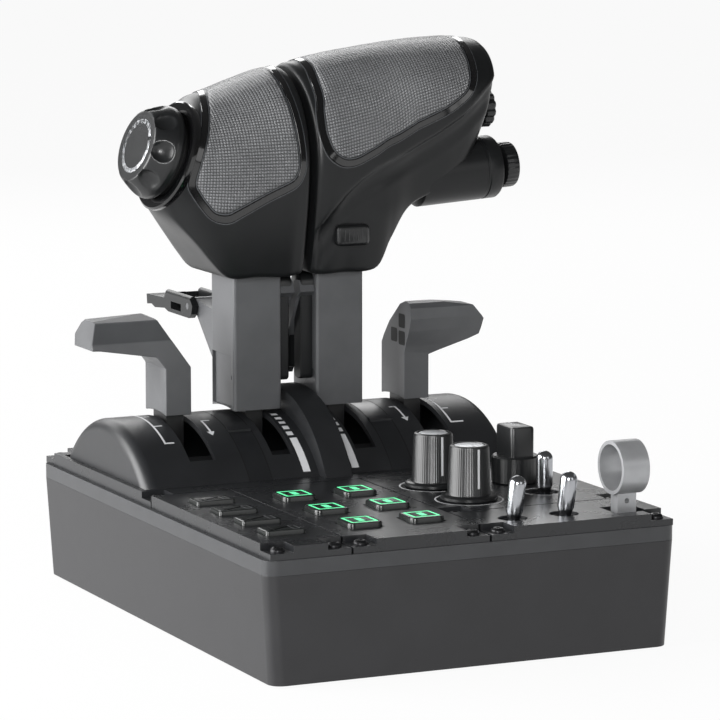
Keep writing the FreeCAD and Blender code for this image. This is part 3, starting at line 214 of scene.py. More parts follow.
M = {
    "case": surface("case_plastic", (34, 34, 36), 0.4, grain=2600, height=0.1),
    "rim": surface("rim_plastic", (52, 53, 55), 0.36, grain=2600, height=0.08),
    "plate": surface("plate_plastic", (32, 33, 35), 0.28, grain=2200, height=0.08),
    "dome": surface("dome_plastic", (30, 31, 33), 0.4, grain=2600, height=0.08),
    "strip": surface("strip_plastic", (26, 27, 29), 0.34, grain=2600, height=0.06),
    "lever": surface("lever_plastic", (78, 79, 81), 0.38, grain=2600, height=0.1),
    "arm": surface("arm_coating", (20, 20, 21), 0.4),
    "shell": surface("grip_plastic", (24, 25, 26), 0.34, grain=2600, height=0.05,
                     shine=0.3),
    # grip panel: grain and cushions, with painted shade and highlight on the cushions
    "panel": add_cushions(surface("grip_grain_with_painted_cushion_light", (112, 113, 115), 0.3, grain=2600, shine=0.7),
                          CUSHION_PITCH, CUSHION_DEPTH),
    "gloss": surface("gloss_black", (10, 10, 11), 0.12, coat=0.6, height=0.01),
    # pale lines: the gap round the grip panels, and the painted highlight on the border's outer rim
    "line": surface("pale_gap_and_painted_rim_highlight", (74, 76, 79), 0.35, height=0.02),
    "knob": surface("knob_plastic", (22, 23, 24), 0.3, grain=2600, height=0.05),
    "key": surface("key_plastic", (24, 27, 26), 0.24, height=0.03),
    "chrome": surface("dark_chrome", (176, 178, 182), 0.22, metallic=1.0, height=0.01),
    "satin": surface("satin_metal", (158, 159, 161), 0.34, metallic=0.35, height=0.05),
    "brushed": surface("brushed_disc", (205, 207, 210), 0.38, metallic=0.8, height=0.05),
    "steel": surface("ground_steel", (170, 172, 175), 0.3, metallic=1.0, height=0.05),
    "screw": surface("black_oxide", (30, 30, 32), 0.35, metallic=0.6, height=0.05),
    "rubber": surface("soft_rubber", (18, 18, 18), 0.8, height=0.2),
    "board": surface("solder_mask", (26, 80, 46), 0.35, height=0.05),
    # deep black: dome seams and key splits, and painted shade in the end knob's neck and groove,
    # the flap handle's openings and the toggle holes
    "dark": surface("deep_black_joints_and_painted_shade", (9, 9, 10), 0.6),
    "print": surface("white_print", (205, 206, 208), 0.5, height=0.02),
    "faint": surface("grey_print", (110, 111, 114), 0.5, height=0.02),
    "green": glow("green_light", (96, 224, 158), 0.85),
}
SLOT_MATERIAL = {
    "case_black": "case", "plate_grey": "plate", "dome_grey": "dome", "lever_grey": "lever",
    "grip_black": "shell", "grip_panel": "panel", "knob_black": "knob", "key_black": "key",
    "reverser_black": "shell", "dark_chrome": "chrome", "gear_satin": "satin", "arm_steel": "arm",
    "steel": "steel", "screw_black": "screw", "foot_rubber": "rubber", "board_green": "board",
    "switch_plastic": "knob",
}
NODE_MATERIAL = {"base_rim": "rim", "dome_strips": "strip", "dome_plate": "plate",
                 "dome_hump": "dome"}


def finish_of(node):
    return M[NODE_MATERIAL.get(node, SLOT_MATERIAL[SLOT_OF[node]])]


# ---------------------------------------------------------------- mesh helpers

def soften(mesh, angle):
    """Smooth shading, with edges sharper than the angle kept."""
    mesh.shade_smooth()
    mesh.set_sharp_from_angle(angle=math.radians(angle))


def piece(name, verts, faces, finish, body, angle=35, replaced=()):
    """A finished piece from a list of points in metres and faces."""
    mesh = bpy.data.meshes.new(name)
    mesh.from_pydata([tuple(v) for v in verts], [], faces)
    mesh.validate()
    bm = bmesh.new()
    bm.from_mesh(mesh)
    bmesh.ops.recalc_face_normals(bm, faces=bm.faces)
    bm.to_mesh(mesh)
    bm.free()
    mesh.materials.append(M[finish])
    soften(mesh, angle)
    obj = bpy.data.objects.new(name, mesh)
    bpy.context.scene.collection.objects.link(obj)
    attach(obj, body)
    if replaced:
        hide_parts(*replaced)
    return obj


def dress(node, width=0.5, segments=2, angle=28):
    """A CAD node's own mesh with its sharp edges broken by a small round."""
    mesh = NODES[node].data.copy()
    mesh.name = node + "_finished"
    bm = bmesh.new()
    bm.from_mesh(mesh)
    bmesh.ops.remove_doubles(bm, verts=bm.verts, dist=1e-6)
    bmesh.ops.dissolve_limit(bm, angle_limit=math.radians(0.5), verts=bm.verts, edges=bm.edges)
    bm.to_mesh(mesh)
    bm.free()
    mesh.materials.clear()
    mesh.materials.append(finish_of(node))
    soften(mesh, angle)
    obj = bpy.data.objects.new(node + "_finished", mesh)
    bpy.context.scene.collection.objects.link(obj)
    bevel = obj.modifiers.new("edge", "BEVEL")
    bevel.width = mm(width)
    bevel.segments = segments
    bevel.limit_method = "ANGLE"
    bevel.angle_limit = math.radians(angle)
    bevel.harden_normals = True
    bevel.use_clamp_overlap = True
    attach(obj, BODY_OF[node])
    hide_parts(node)
    return obj


def frame_of(axis):
    """Two directions across an axis."""
    axis = axis.normalized()
    helper = Vector((0, 0, 1)) if abs(axis.z) < 0.9 else Vector((1, 0, 0))
    first = axis.cross(helper).normalized()
    return first, axis.cross(first).normalized()


def revolve(profile, centre, axis, steps=64, shape=None):
    """Points and faces of a profile of (radius, height) turned about an axis, in millimetres."""
    first, second = frame_of(axis)
    axis = axis.normalized()
    verts = []
    for radius, height in profile:
        for step in range(steps):
            angle = 2 * math.pi * step / steps
            r = radius if shape is None else shape(radius, height, angle)
            offset = first * math.cos(angle) * r + second * math.sin(angle) * r + axis * height
            verts.append((centre + offset) * 0.001)
    faces = []
    for ring in range(len(profile) - 1):
        for step in range(steps):
            a = ring * steps + step
            b = ring * steps + (step + 1) % steps
            faces.append((a, b, b + steps, a + steps))
    for ring in (0, len(profile) - 1):
        faces.append(tuple(ring * steps + step for step in range(steps)))
    return verts, faces


def turned(name, profile, centre, axis, finish, body, steps=64, shape=None, angle=35,
           replaced=()):
    verts, faces = revolve(profile, centre, axis, steps, shape)
    return piece(name, verts, faces, finish, body, angle, replaced)


def rounded(points, radius, steps=5):
    """A closed 2-D outline with its corners rounded."""
    result = []
    count = len(points)
    for i in range(count):
        before = Vector(points[i - 1])
        here = Vector(points[i])
        after = Vector(points[(i + 1) % count])
        back = (before - here)
        ahead = (after - here)
        reach = min(radius, back.length * 0.45, ahead.length * 0.45)
        start = here + back.normalized() * reach
        end = here + ahead.normalized() * reach
        for step in range(steps + 1):
            t = step / steps
            result.append(start * (1 - t) ** 2 + here * 2 * t * (1 - t) + end * t ** 2)
    return result


def offset(outline, distance):
    """The outline moved sideways; positive is inward for an anticlockwise outline."""
    area = sum(a.x * b.y - b.x * a.y for a, b in zip(outline, outline[1:] + outline[:1]))
    sign = 1 if area > 0 else -1
    moved = []
    count = len(outline)
    for i in range(count):
        tangent = outline[(i + 1) % count] - outline[i - 1]
        normal = Vector((-tangent.y, tangent.x)).normalized() * sign
        moved.append(outline[i] + normal * distance)
    return moved


def resample(outline, pitch):
    """The same closed outline with points about a pitch apart."""
    result = []
    for a, b in zip(outline, outline[1:] + outline[:1]):
        count = max(1, round((b - a).length / pitch))
        for step in range(count):
            result.append(a.lerp(b, step / count))
    return result


def stacked(outlines):
    """Points and faces of closed outlines joined one to the next, with flat ends."""
    verts = [point for outline in outlines for point in outline]
    count = len(outlines[0])
    faces = [tuple(range(count))]
    for row in range(len(outlines) - 1):
        for i in range(count):
            j = (i + 1) % count
            faces.append((row * count + i, row * count + j, (row + 1) * count + j,
                          (row + 1) * count + i))
    faces.append(tuple((len(outlines) - 1) * count + i for i in range(count)))
    return verts, faces


def ribbon(name, outline, inner, outer, rise, lay, finish, body):
    """A raised closed strip along an outline; lay(u, v, height) puts it on a surface."""
    rows = [(inner, -0.3), (inner + (outer - inner) * 0.12, rise),
            (outer - (outer - inner) * 0.12, rise), (outer, -0.3)]
    verts = []
    for distance, height in rows:
        verts += [lay(p.x, p.y, height) for p in offset(outline, distance)]
    count = len(outline)
    faces = []
    for row in range(len(rows) - 1):
        for i in range(count):
            j = (i + 1) % count
            faces.append((row * count + i, row * count + j, (row + 1) * count + j,
                          (row + 1) * count + i))
    base = (len(rows) - 1) * count
    for i in range(count):
        j = (i + 1) % count
        faces.append((base + i, base + j, j, i))
    return piece(name, verts, faces, finish, body, 50)


def patch(name, outline, rise, pitch, lay, finish, body, angle=50):
    """A filled outline laid on a surface as a thin skin with a rolled edge."""
    low = Vector((min(p.x for p in outline), min(p.y for p in outline)))
    high = Vector((max(p.x for p in outline), max(p.y for p in outline)))
    inner = offset(outline, 0.8)
    points = list(outline) + list(inner)
    heights = [-0.4] * len(outline) + [rise] * len(inner)
    count = len(outline)
    edges = [(i, (i + 1) % count) for i in range(count)]
    edges += [(count + i, count + (i + 1) % count) for i in range(count)]
    tight = offset(outline, 0.8 + pitch * 0.6)
    u = low.x
    while u < high.x:
        v = low.y
        while v < high.y:
            if inside(Vector((u, v)), tight):
                points.append(Vector((u, v)))
                heights.append(rise)
            v += pitch
        u += pitch
    flat, _, faces, origin, _, _ = geometry.delaunay_2d_cdt(points, edges, [], 0, 1e-4)
    verts = []
    for position, sources in zip(flat, origin):
        height = heights[sources[0]] if sources else rise
        verts.append(lay(position.x, position.y, height))
    kept = []
    for face in faces:
        middle = sum((flat[i] for i in face), Vector((0, 0))) / len(face)
        if inside(middle, outline):
            kept.append(tuple(face))
    obj = piece(name, verts, kept, finish, body, angle)
    layout = obj.data.uv_layers.new(name="flat")
    for loop in obj.data.loops:
        layout.data[loop.index].uv = flat[loop.vertex_index] * 0.001
    return obj


def inside(point, outline):
    """Whether a 2-D point lies inside a closed outline."""
    hit = False
    for a, b in zip(outline, outline[1:] + outline[:1]):
        if (a.y > point.y) != (b.y > point.y):
            if point.x < a.x + (b.x - a.x) * (point.y - a.y) / (b.y - a.y):
                hit = not hit
    return hit


def tube(name, path, radius, finish, body, steps=12):
    """A round bar along points in millimetres, with closed ends."""
    verts = []
    count = len(path)
    for i, point in enumerate(path):
        ahead = path[min(i + 1, count - 1)] - path[max(i - 1, 0)]
        first, second = frame_of(ahead)
        for step in range(steps):
            angle = 2 * math.pi * step / steps
            verts.append((point + first * math.cos(angle) * radius
                          + second * math.sin(angle) * radius) * 0.001)
    faces = [tuple(range(steps)), tuple((count - 1) * steps + i for i in range(steps))]
    for i in range(count - 1):
        for step in range(steps):
            a = i * steps + step
            b = i * steps + (step + 1) % steps
            faces.append((a, b, b + steps, a + steps))
    return piece(name, verts, faces, finish, body)


# ---------------------------------------------------------------- grips

# Rows of a grip: distance along X from its inner face, lean, front, back, floor, roof, widest
# height, and where the floor starts and ends.
GRIP_GAP = 1.5
CROWN = 75.0
COLLAR = Vector((-62.5, 63.0, 209.3))
KNOB_AXIS = Vector((-math.cos(math.radians(19)), -0.065, math.sin(math.radians(19)))).normalized()
LEFT_ROWS = [
    (0.0, 0.00, 37.0, 104.0, 154.5, 247.5, 205, 46.5, 92),
    (0.7, 0.00, 35.0, 106.0, 153.0, 248.6, 205, 44.5, 94),
    (4.5, 0.00, 33.6, 108.0, 152.0, 248.4, 205, 43.6, 95),
    (23.0, 0.00, 33.8, 107.0, 152.0, 243.5, 205, 43.6, 95),
    (38.0, 0.02, 34.6, 105.0, 152.9, 238.6, 205, 44.4, 92),
    (43.0, 0.06, 35.2, 102.0, 159.7, 237.6, 205, 45.0, 89),
    (48.0, 0.12, 36.0, 99.0, 168.2, 236.7, 205, 46.0, 86),
]
RIGHT_ROWS = [
    (0.0, 0.00, 37.0, 104.0, 154.5, 248.5, 205, 46.5, 92),
    (0.7, 0.00, 35.0, 106.0, 153.0, 250.0, 205, 44.5, 94),
    (4.5, 0.00, 33.6, 108.0, 152.0, 251.0, 205, 43.6, 95),
    (19.0, 0.00, 34.0, 107.0, 152.0, 254.0, 208, 43.6, 95),
    (32.0, 0.00, 34.4, 106.0, 152.0, 256.0, 211, 43.9, 94),
    (34.5, 0.00, 34.5, 106.0, 152.6, 256.3, 212, 44.0, 94),
    (43.0, 0.00, 34.8, 104.0, 166.0, 257.5, 216, 44.5, 92),
    (53.0, 0.00, 35.2, 101.0, 181.0, 258.7, 222, 45.5, 89),
    (75.0, 0.00, 36.0, 96.0, 191.5, 260.4, 228, 47.0, 85),
    (86.0, 0.10, 37.5, 92.0, 200.0, 260.3, 232, 49.0, 82),
    (90.0, 0.20, 40.0, 88.0, 206.5, 258.5, 234, 51.5, 79),
    (91.4, 0.20, 43.0, 85.0, 209.5, 256.5, 234, 54.0, 76),
]
BELLY = 1.6
STEP_LOWER = 40
STEP_UPPER = 24
STEP_FLOOR = 16


def ring_points(front, back, floor, roof, waist, toe, heel):
    """Points in (y, z) round one section, from its front bottom corner over the top and back."""
    points = []
    for step in range(STEP_LOWER):
        drop = 1 - step / STEP_LOWER
        points.append((front + (toe - front) * drop ** BELLY, waist - (waist - floor) * drop))
    for step in range(2 * STEP_UPPER):
        angle = math.pi * (1 - step / (2 * STEP_UPPER))
        reach = CROWN - front if step < STEP_UPPER else back - CROWN
        points.append((CROWN + reach * math.cos(angle), waist + (roof - waist) * math.sin(angle)))
    for step in range(STEP_LOWER):
        drop = step / STEP_LOWER
        points.append((back - (back - heel) * drop ** BELLY, waist - (waist - floor) * drop))
    for step in range(STEP_FLOOR):
        points.append((heel + (toe - heel) * step / STEP_FLOOR, floor))
    for _ in range(1):
        count = len(points)
        points = [tuple((points[i - 1][k] + 2 * points[i][k] + points[(i + 1) % count][k]) / 4
                        for k in (0, 1)) for i in range(count)]
    return points


def upright_ring(side, row):
    x, lean, *rest = row
    ring = []
    for y, z in ring_points(*rest):
        shift = lean * (z - COLLAR.z) * side if side > 0 else lean * (z - COLLAR.z)
        ring.append(Vector((side * (GRIP_GAP + x) + shift, y, z)))
    return ring


def collar_ring(radius, back):
    """The round end of the left grip, in the same order as a section's points."""
    across = KNOB_AXIS.cross(UP).normalized()
    if across.y > 0:
        across = -across
    rise = across.cross(KNOB_AXIS).normalized()
    if rise.z < 0:
        rise = -rise
    count = 2 * STEP_LOWER + 2 * STEP_UPPER + STEP_FLOOR
    # angle shares: lower front, over the top, lower back, floor
    ring = []
    for i in range(count):
        if i < STEP_LOWER:
            angle = -70 + 70 * i / STEP_LOWER
        elif i < STEP_LOWER + 2 * STEP_UPPER:
            angle = 180 * (i - STEP_LOWER) / (2 * STEP_UPPER)
        elif i < 2 * STEP_LOWER + 2 * STEP_UPPER:
            angle = 180 + 70 * (i - STEP_LOWER - 2 * STEP_UPPER) / STEP_LOWER
        else:
            angle = 250 + 40 * (i - 2 * STEP_LOWER - 2 * STEP_UPPER) / STEP_FLOOR
        turn = math.radians(angle)
        ring.append(COLLAR - KNOB_AXIS * back + across * radius * math.cos(turn)
                    + rise * radius * math.sin(turn))
    return ring


def smooth_rings(stations, fine):
    """Rings between the stations, on a curve through the same point of each."""
    result = []
    last = len(stations) - 1
    for k in range(last):
        span = sum((b - a).length for a, b in zip(stations[k], stations[k + 1])) / len(stations[k])
        count = max(1, round(span / fine))
        for step in range(count):
            t = step / count
            ring = []
            for i in range(len(stations[k])):
                p1 = stations[k][i]
                p2 = stations[k + 1][i]
                p0 = stations[k - 1][i] if k > 0 else p1 * 2 - p2
                p3 = stations[k + 2][i] if k + 2 <= last else p2 * 2 - p1
                d0 = max(1e-6, (p1 - p0).length)
                d1 = max(1e-6, (p2 - p1).length)
                d2 = max(1e-6, (p3 - p2).length)
                m1 = ((p1 - p0) / d0 * d1 + (p2 - p1) / d1 * d0) / (d0 + d1) * d1
                m2 = ((p2 - p1) / d1 * d2 + (p3 - p2) / d2 * d1) / (d1 + d2) * d1
                h1 = 2 * t ** 3 - 3 * t ** 2 + 1
                h2 = t ** 3 - 2 * t ** 2 + t
                h3 = -2 * t ** 3 + 3 * t ** 2
                h4 = t ** 3 - t ** 2
                ring.append(p1 * h1 + m1 * h2 + p2 * h3 + m2 * h4)
            result.append(ring)
    result.append(stations[-1])
    return result


def smoothstep(low, high, value):
    t = min(1.0, max(0.0, (value - low) / (high - low)))
    return t * t * (3 - 2 * t)


# the line on the right grip's front below which the shell falls back, as (x, z)
CREASE = [(1.0, 174.0), (4.2, 175.3), (10.0, 183.5), (17.9, 192.1), (25.0, 198.0), (32.8, 203.1),
          (48.4, 210.0), (63.9, 217.6), (79.4, 226.7), (89.2, 235.3), (100.0, 245.0)]


def crease_height(x):
    for (x0, z0), (x1, z1) in zip(CREASE, CREASE[1:]):
        if x <= x1:
            return z0 + (z1 - z0) * (x - x0) / (x1 - x0)
    return CREASE[-1][1]


def fall_back(point):
    """Draws the right grip's front in under the crease."""
    if point.y > CROWN - 5 or point.x < 1:
        return point
    under = crease_height(point.x) - point.z
    if under <= 0:
        return point
    sideways = smoothstep(1.0, 7.0, point.x)
    front = smoothstep(CROWN - 5, CROWN - 20, point.y)
    fall = (2.5 * smoothstep(0.0, 3.0, under) + 1.0 * smoothstep(3.0, 8.0, under)
            - 1.2 * smoothstep(8.0, 15.0, under) - 1.3 * smoothstep(15.0, 30.0, under))
    return Vector((point.x, point.y + fall * sideways * front, point.z))


def skin(rings):
    """Faces of a stack of closed rings with closed ends."""
    verts = [p for ring in rings for p in ring]
    width = len(rings[0])
    faces = []
    for k in range(len(rings) - 1):
        for i in range(width):
            j = (i + 1) % width
            faces.append((k * width + i, k * width + j, (k + 1) * width + j, (k + 1) * width + i))
    for k in (0, len(rings) - 1):
        verts.append(sum(rings[k], Vector()) / width)
        middle = len(verts) - 1
        for i in range(width):
            faces.append((k * width + i, k * width + (i + 1) % width, middle))
    return verts, faces


SPREAD = 40.0


def layer(verts, faces, rows):
    """Lays (x, arc) points, arc being the angle about the grip times SPREAD, on a grip."""
    tree = BVHTree.FromPolygons(verts, faces)

    def waist(x):
        reach = abs(x) - GRIP_GAP
        for low_row, high_row in zip(rows, rows[1:]):
            if reach <= high_row[0]:
                share = (reach - low_row[0]) / (high_row[0] - low_row[0])
                return low_row[6] + (high_row[6] - low_row[6]) * max(0.0, share)
        return rows[-1][6]

    def lay(x, arc, height):
        turn = arc / SPREAD
        way = Vector((0, -math.cos(turn), math.sin(turn)))
        start = Vector((x, CROWN, waist(x)))
        hit, normal, _, _ = tree.ray_cast(start, way)
        if hit is None:
            hit, normal, _, _ = tree.find_nearest(start + way * 40)
        if normal.dot(way) < 0:
            normal = -normal
        return (hit + normal * height) * 0.001

    return lay


def grip_body(side):
    name = "left" if side < 0 else "right"
    if side < 0:
        stations = [upright_ring(side, row) for row in LEFT_ROWS] + [collar_ring(26, 0)]
        rings = smooth_rings(stations, 1.6)
    else:
        rings = smooth_rings([upright_ring(side, row) for row in RIGHT_ROWS], 1.6)
        rings = [[fall_back(p) for p in ring] for ring in rings]
    verts, faces = skin(rings)
    piece("grip_%s_shell" % name, [v * 0.001 for v in verts], faces, "shell",
          "throttle_" + name, 40,
          ("grip_%s_front" % name, "grip_%s_back" % name, "grip_%s_panel" % name))
    return layer(verts, faces, LEFT_ROWS if side < 0 else RIGHT_ROWS)


# panel outlines as distance along X and angle about the grip, 0 in front and 90 at the crown
LEFT_OUTLINE = [(-37.0, 124), (-39.1, 87), (-43.4, 64), (-47, 43.1), (-51.3, 24.1), (-55.2, 9.4),
                (-57.5, -0.5), (-59.1, -11), (-53.8, -22.4), (-48.8, -30), (-42.8, -29.9),
                (-38.8, -26.7), (-21.9, -15.3), (-10.6, -8.2), (-8.4, -1), (-8.8, 12.1),
                (-9.5, 31.4), (-10.1, 49.5), (-9.6, 72.7), (-7.9, 87.3), (-7.0, 124)]
RIGHT_OUTLINE = [(12.0, 120), (11.5, 90), (10.9, 72.1), (9.3, 57.3), (8.9, 43.4), (7.2, 33.9),
                 (6.9, 20.4), (9.1, 10.2), (11.1, 5.8), (15.7, 0.5), (22, -0.9), (37.4, 4.5),
                 (54.3, 2.4), (69.9, 5.3), (81.4, 10.8), (84.2, 19.1), (85.6, 33.9), (87.4, 57.1),
                 (88.0, 85), (87.0, 120)]


def grip_panel(side, outline, lay):
    """The cushioned panel of a grip inside its thin gap and gloss border, with a pale strip round
    the border's outside as a painted highlight on its rim.
    """
    name = "left" if side < 0 else "right"
    body = "throttle_" + name
    flat = [Vector((x, math.radians(angle) * SPREAD)) for x, angle in outline]
    line = resample(rounded(flat, 3, 4), 1.2)
    patch("grip_%s_grain" % name, line, 0.5, 1.8, lay, "panel", body)
    ribbon("grip_%s_gap" % name, line, -0.45, 0.1, 0.1, lay, "line", body)
    ribbon("grip_%s_border" % name, line, -4.0, -0.45, 0.4, lay, "gloss", body)
    # painted highlight: a pale strip along the outer rim of the gloss border
    ribbon("grip_%s_edge" % name, line, -4.4, -4.0, 0.12, lay, "line", body)


lay_left = grip_body(-1)
lay_right = grip_body(1)
grip_panel(-1, LEFT_OUTLINE, lay_left)
grip_panel(1, RIGHT_OUTLINE, lay_right)


def left_knob():
    """Collar, neck, fluted ring and centre disc on the left grip's outer end; the neck and the
    groove round the disc are deep black as painted shade.
    """
    turned("collar_ring", [(24.4, -2.6), (26.0, -2.4), (26.5, -1.4), (26.5, 1.2), (25.6, 2.0),
                           (23.4, 2.2), (20.0, 1.6)], COLLAR, KNOB_AXIS, "gloss",
           "throttle_left", 96)
    # painted shade: the neck seen in the gap under the ring is deep black
    turned("end_knob_neck_painted_shade", [(19.0, 0.6), (19.0, 5.0), (18.0, 6.0)], COLLAR, KNOB_AXIS, "dark",
           "end_knob", 64)
    rim = [(17.0, 3.6), (20.9, 3.6), (22.0, 4.2), (22.4, 5.2), (22.4, 7.4), (22.0, 8.8),
           (21.3, 10.4), (20.5, 12.0), (19.6, 13.6), (18.8, 15.0), (18.0, 16.3), (17.4, 17.1),
           (16.8, 17.45), (15.6, 17.5)]
    fine = []
    for (r0, h0), (r1, h1) in zip(rim, rim[1:]):
        count = max(1, round(math.hypot(r1 - r0, h1 - h0) / 0.45))
        fine += [(r0 + (r1 - r0) * i / count, h0 + (h1 - h0) * i / count) for i in range(count)]
    fine.append(rim[-1])

    def scallops(radius, height, angle):
        if radius < 17.0:
            return radius
        part = math.pi / 4
        aside = ((angle + part / 2) % part - part / 2) / math.radians(14.5)
        along = (height - 13.2) / 4.9
        reach = 1 - aside * aside - along * along
        return radius - (2.6 * reach ** 0.8 if reach > 0 else 0)

    verts, faces = revolve(fine, COLLAR, KNOB_AXIS, 256, scallops)
    piece("end_knob_ring", verts, faces, "knob", "end_knob", 40, ("end_knob",))
    # painted shade: the groove round the disc is deep black
    turned("end_knob_groove_painted_shade", [(15.9, 17.3), (15.4, 16.4), (13.4, 16.3), (13.2, 16.6)], COLLAR,
           KNOB_AXIS, "dark", "end_knob", 96)
    disc = [(13.6, 16.3), (13.55, 17.2), (13.1, 17.5), (10.9, 17.5), (10.7, 17.2), (10.1, 17.2),
            (9.9, 17.45), (0.4, 17.48)]
    turned("end_knob_disc", disc, COLLAR, KNOB_AXIS, "brushed", "end_knob", 96)


left_knob()

# ---------------------------------------------------------------- brake barrel, hats and slide

BARREL_AXIS = Vector((math.cos(math.radians(3.8)), 0, math.sin(math.radians(3.8))))
BARREL_FACE = Vector((105.8, 60, 198))


def barrel():
    reach = -43
    profile = [(13.5, reach), (15.25, reach + 1), (15.25, -9.0), (14.9, -8.6), (14.9, -7.6),
               (15.25, -7.2), (15.25, -1.4), (14.6, -0.4), (13.4, 0.0), (11.6, 0.0), (11.2, -0.6),
               (6.0, -0.6)]
    turned("barrel_sleeve", profile, BARREL_FACE, BARREL_AXIS, "shell", "throttle_right",
           96, replaced=("brake_barrel",))
    knob = [(5.0, -0.8), (5.0, 3.4), (9.8, 3.4), (10.8, 3.9), (11.0, 4.6), (11.0, 9.3),
            (10.6, 10.1), (9.7, 10.5), (8.4, 10.5), (8.0, 10.1), (0.3, 10.1)]
    turned("barrel_knob_cap", knob, BARREL_FACE, BARREL_AXIS, "knob", "barrel_knob",
           144, lambda r, h, a: r - (0.3 * (0.5 + 0.5 * math.cos(28 * a)) if r > 10.7 else 0),
           replaced=("barrel_knob",))


# each hat is drawn shorter than its CAD node by its trim
HAT_LOWER_TRIM = 5.0
HAT_UPPER_TRIM = 2.6
HAT_LOWER_CAP = 5.8


def hats():
    out = Vector((1, 0, 0))
    low, high = node_mm("hat_lower")
    centre = Vector((0, (low.y + high.y) / 2, (low.z + high.z) / 2))
    start = low.x
    end = high.x - HAT_LOWER_TRIM
    cap = end - HAT_LOWER_CAP
    profile = [(3.0, start), (3.0, cap), (8.8, cap), (9.5, cap + 0.8), (9.5, end - 1.2),
               (8.7, end - 0.3), (6.4, end), (5.9, end - 0.8), (0.3, end - 0.9)]
    turned("hat_lower_cap", profile, centre, out, "knob", "hat_lower", 144,
           lambda r, h, a: r - (0.9 * (0.5 + 0.5 * math.cos(12 * a)) ** 2 if r > 8 else 0),
           replaced=("hat_lower",))
    low, high = node_mm("hat_upper")
    centre = Vector((0, (low.y + high.y) / 2, (low.z + high.z) / 2))
    end = high.x - HAT_UPPER_TRIM
    profile = [(4.8, low.x), (4.8, end - 1.2), (4.5, end - 0.5), (3.8, end - 0.1), (3.0, end),
               (0.3, end)]
    turned("hat_upper_cap", profile, centre, out, "knob", "hat_upper", 48,
           replaced=("hat_upper",))


def slide():
    """The thumb slide: a rounded oblong piece with a worn top edge and fine ribs."""
    low, high = node_mm("slide_button")
    middle = (low + high) / 2
    outline = rounded([Vector((low.x, low.z)), Vector((high.x, low.z)), Vector((high.x, high.z)),
                       Vector((low.x, high.z))], 2.6, 6)
    levels = [(0.0, high.y), (0.0, low.y + 1.3), (0.35, low.y + 0.5), (1.1, low.y + 0.05),
              (1.8, low.y + 0.35)]
    verts, faces = stacked([[mm(p.x, y, p.y) for p in offset(outline, inset)]
                            for inset, y in levels])
    piece("slide_cap", verts, faces, "knob", "slide_button", 40, ("slide_button",))
    for number in range(5):
        x = middle.x + (number - 2) * 2.3
        tube("slide_rib_%d" % number, [Vector((x, low.y + 0.45, low.z + 2.4)),
                                       Vector((x, low.y + 0.45, high.z - 2.4))], 0.34,
             "knob", "slide_button", 8)


barrel()
hats()
slide()

# ---------------------------------------------------------------- base, dome, levers from CAD

for node in ("base_tub", "base_rim", "plate_left", "plate_centre", "plate_front_right",
             "plate_back_right", "dome_plate"):
    dress(node, 0.45)
for node in ("lever_left_housing", "lever_right_housing", "speed_lever_handle",
             "flap_lever_handle", "reverser_left", "reverser_right", "reverser_mount_left",
             "reverser_mount_right", "gear_lever"):
    dress(node, 0.6)
def knuckles():
    """Dark struts and round knuckles on the towers' inner sides, just under the grips."""
    for side, body in ((-1, "throttle_left"), (1, "throttle_right")):
        for number, (low_y, high_y, low_z, high_z, inner, outer) in enumerate((
                (58.0, 66.0, 100.0, 146.0, 3.0, 9.2), (70.0, 77.0, 104.0, 140.0, 2.2, 9.2))):
            outline = rounded([Vector((low_y, low_z)), Vector((high_y, low_z)),
                               Vector((high_y, high_z)), Vector((low_y, high_z))], 2.5, 5)
            rows = [(0.6, inner), (0.0, inner + 0.6), (0.0, outer)]
            verts, faces = stacked([[mm(side * x, q.x, q.y) for q in offset(outline, inset)]
                                    for inset, x in rows])
            piece("knuckle_strut_%s_%d" % (body[9:], number), verts, faces, "shell", body,
                  40)
        turned("knuckle_round_%s" % body[9:], [(0.4, 2.0), (5.0, 2.0), (6.0, 2.6), (6.2, 3.6),
                                               (6.2, 9.2)], Vector((0, 62, 146)),
               Vector((side, 0, 0)), "knob", body, 48)


def windows():
    """Four deep-black panes between light bars on the flap handle's left end, painted shade
    standing in for the handle's openings.
    """
    mesh = NODES["flap_lever_handle"].data
    tree = BVHTree.FromPolygons([v.co for v in mesh.vertices],
                                [tuple(p.vertices) for p in mesh.polygons])
    verts = []
    faces = []
    for column in (-1, 1):
        for row in (-1, 1):
            y = 60.3 + column * 4.3
            z = 121.6 + row * 4.2 + column * 0.4
            pane = rounded([Vector((y - 3.5, z - 3.4)), Vector((y + 3.5, z - 3.4)),
                            Vector((y + 3.5, z + 3.4)), Vector((y - 3.5, z + 3.4))], 1.1, 3)
            hits = [tree.ray_cast(mm(-200, q.x, q.y), Vector((1, 0, 0)))[0] for q in pane]
            if None in hits or max(h.x for h in hits) - min(h.x for h in hits) > mm(3):
                continue
            faces.append(tuple(range(len(verts), len(verts) + len(hits))))
            verts += [hit - mm(0.06, 0, 0) for hit in hits]
    if verts:
        # painted shade: flat deep-black sheets laid on the handle where its openings are
        piece("flap_handle_painted_shade_panes", verts, faces, "dark", BODY_OF["flap_lever_handle"])


knuckles()
windows()
for node, obj in NODES.items():
    if not obj.hide_render:
        for entry in obj.material_slots:
            entry.material = finish_of(node)
        if not obj.material_slots:
            obj.data.materials.append(finish_of(node))
        obj.data.polygons.foreach_set("use_smooth", [True] * len(obj.data.polygons))
        obj.data.set_sharp_from_angle(angle=math.radians(28))

# ---------------------------------------------------------------- prints and legends

low, high = node_mm("plate_centre")
PLATE_TOP = high.z
PIVOT = Vector((0, 66.0, 19.7))
DOME_RADIUS = 66.0


def on_plate(x, y, height):
    return mm(x, y, PLATE_TOP + height)


def on_dome(x, angle, height):
    """A point over the dome at an angle in degrees from its front."""
    turn = math.radians(angle)
    reach = DOME_RADIUS + height
    return mm(x, PIVOT.y - reach * math.cos(turn), PIVOT.z + reach * math.sin(turn))


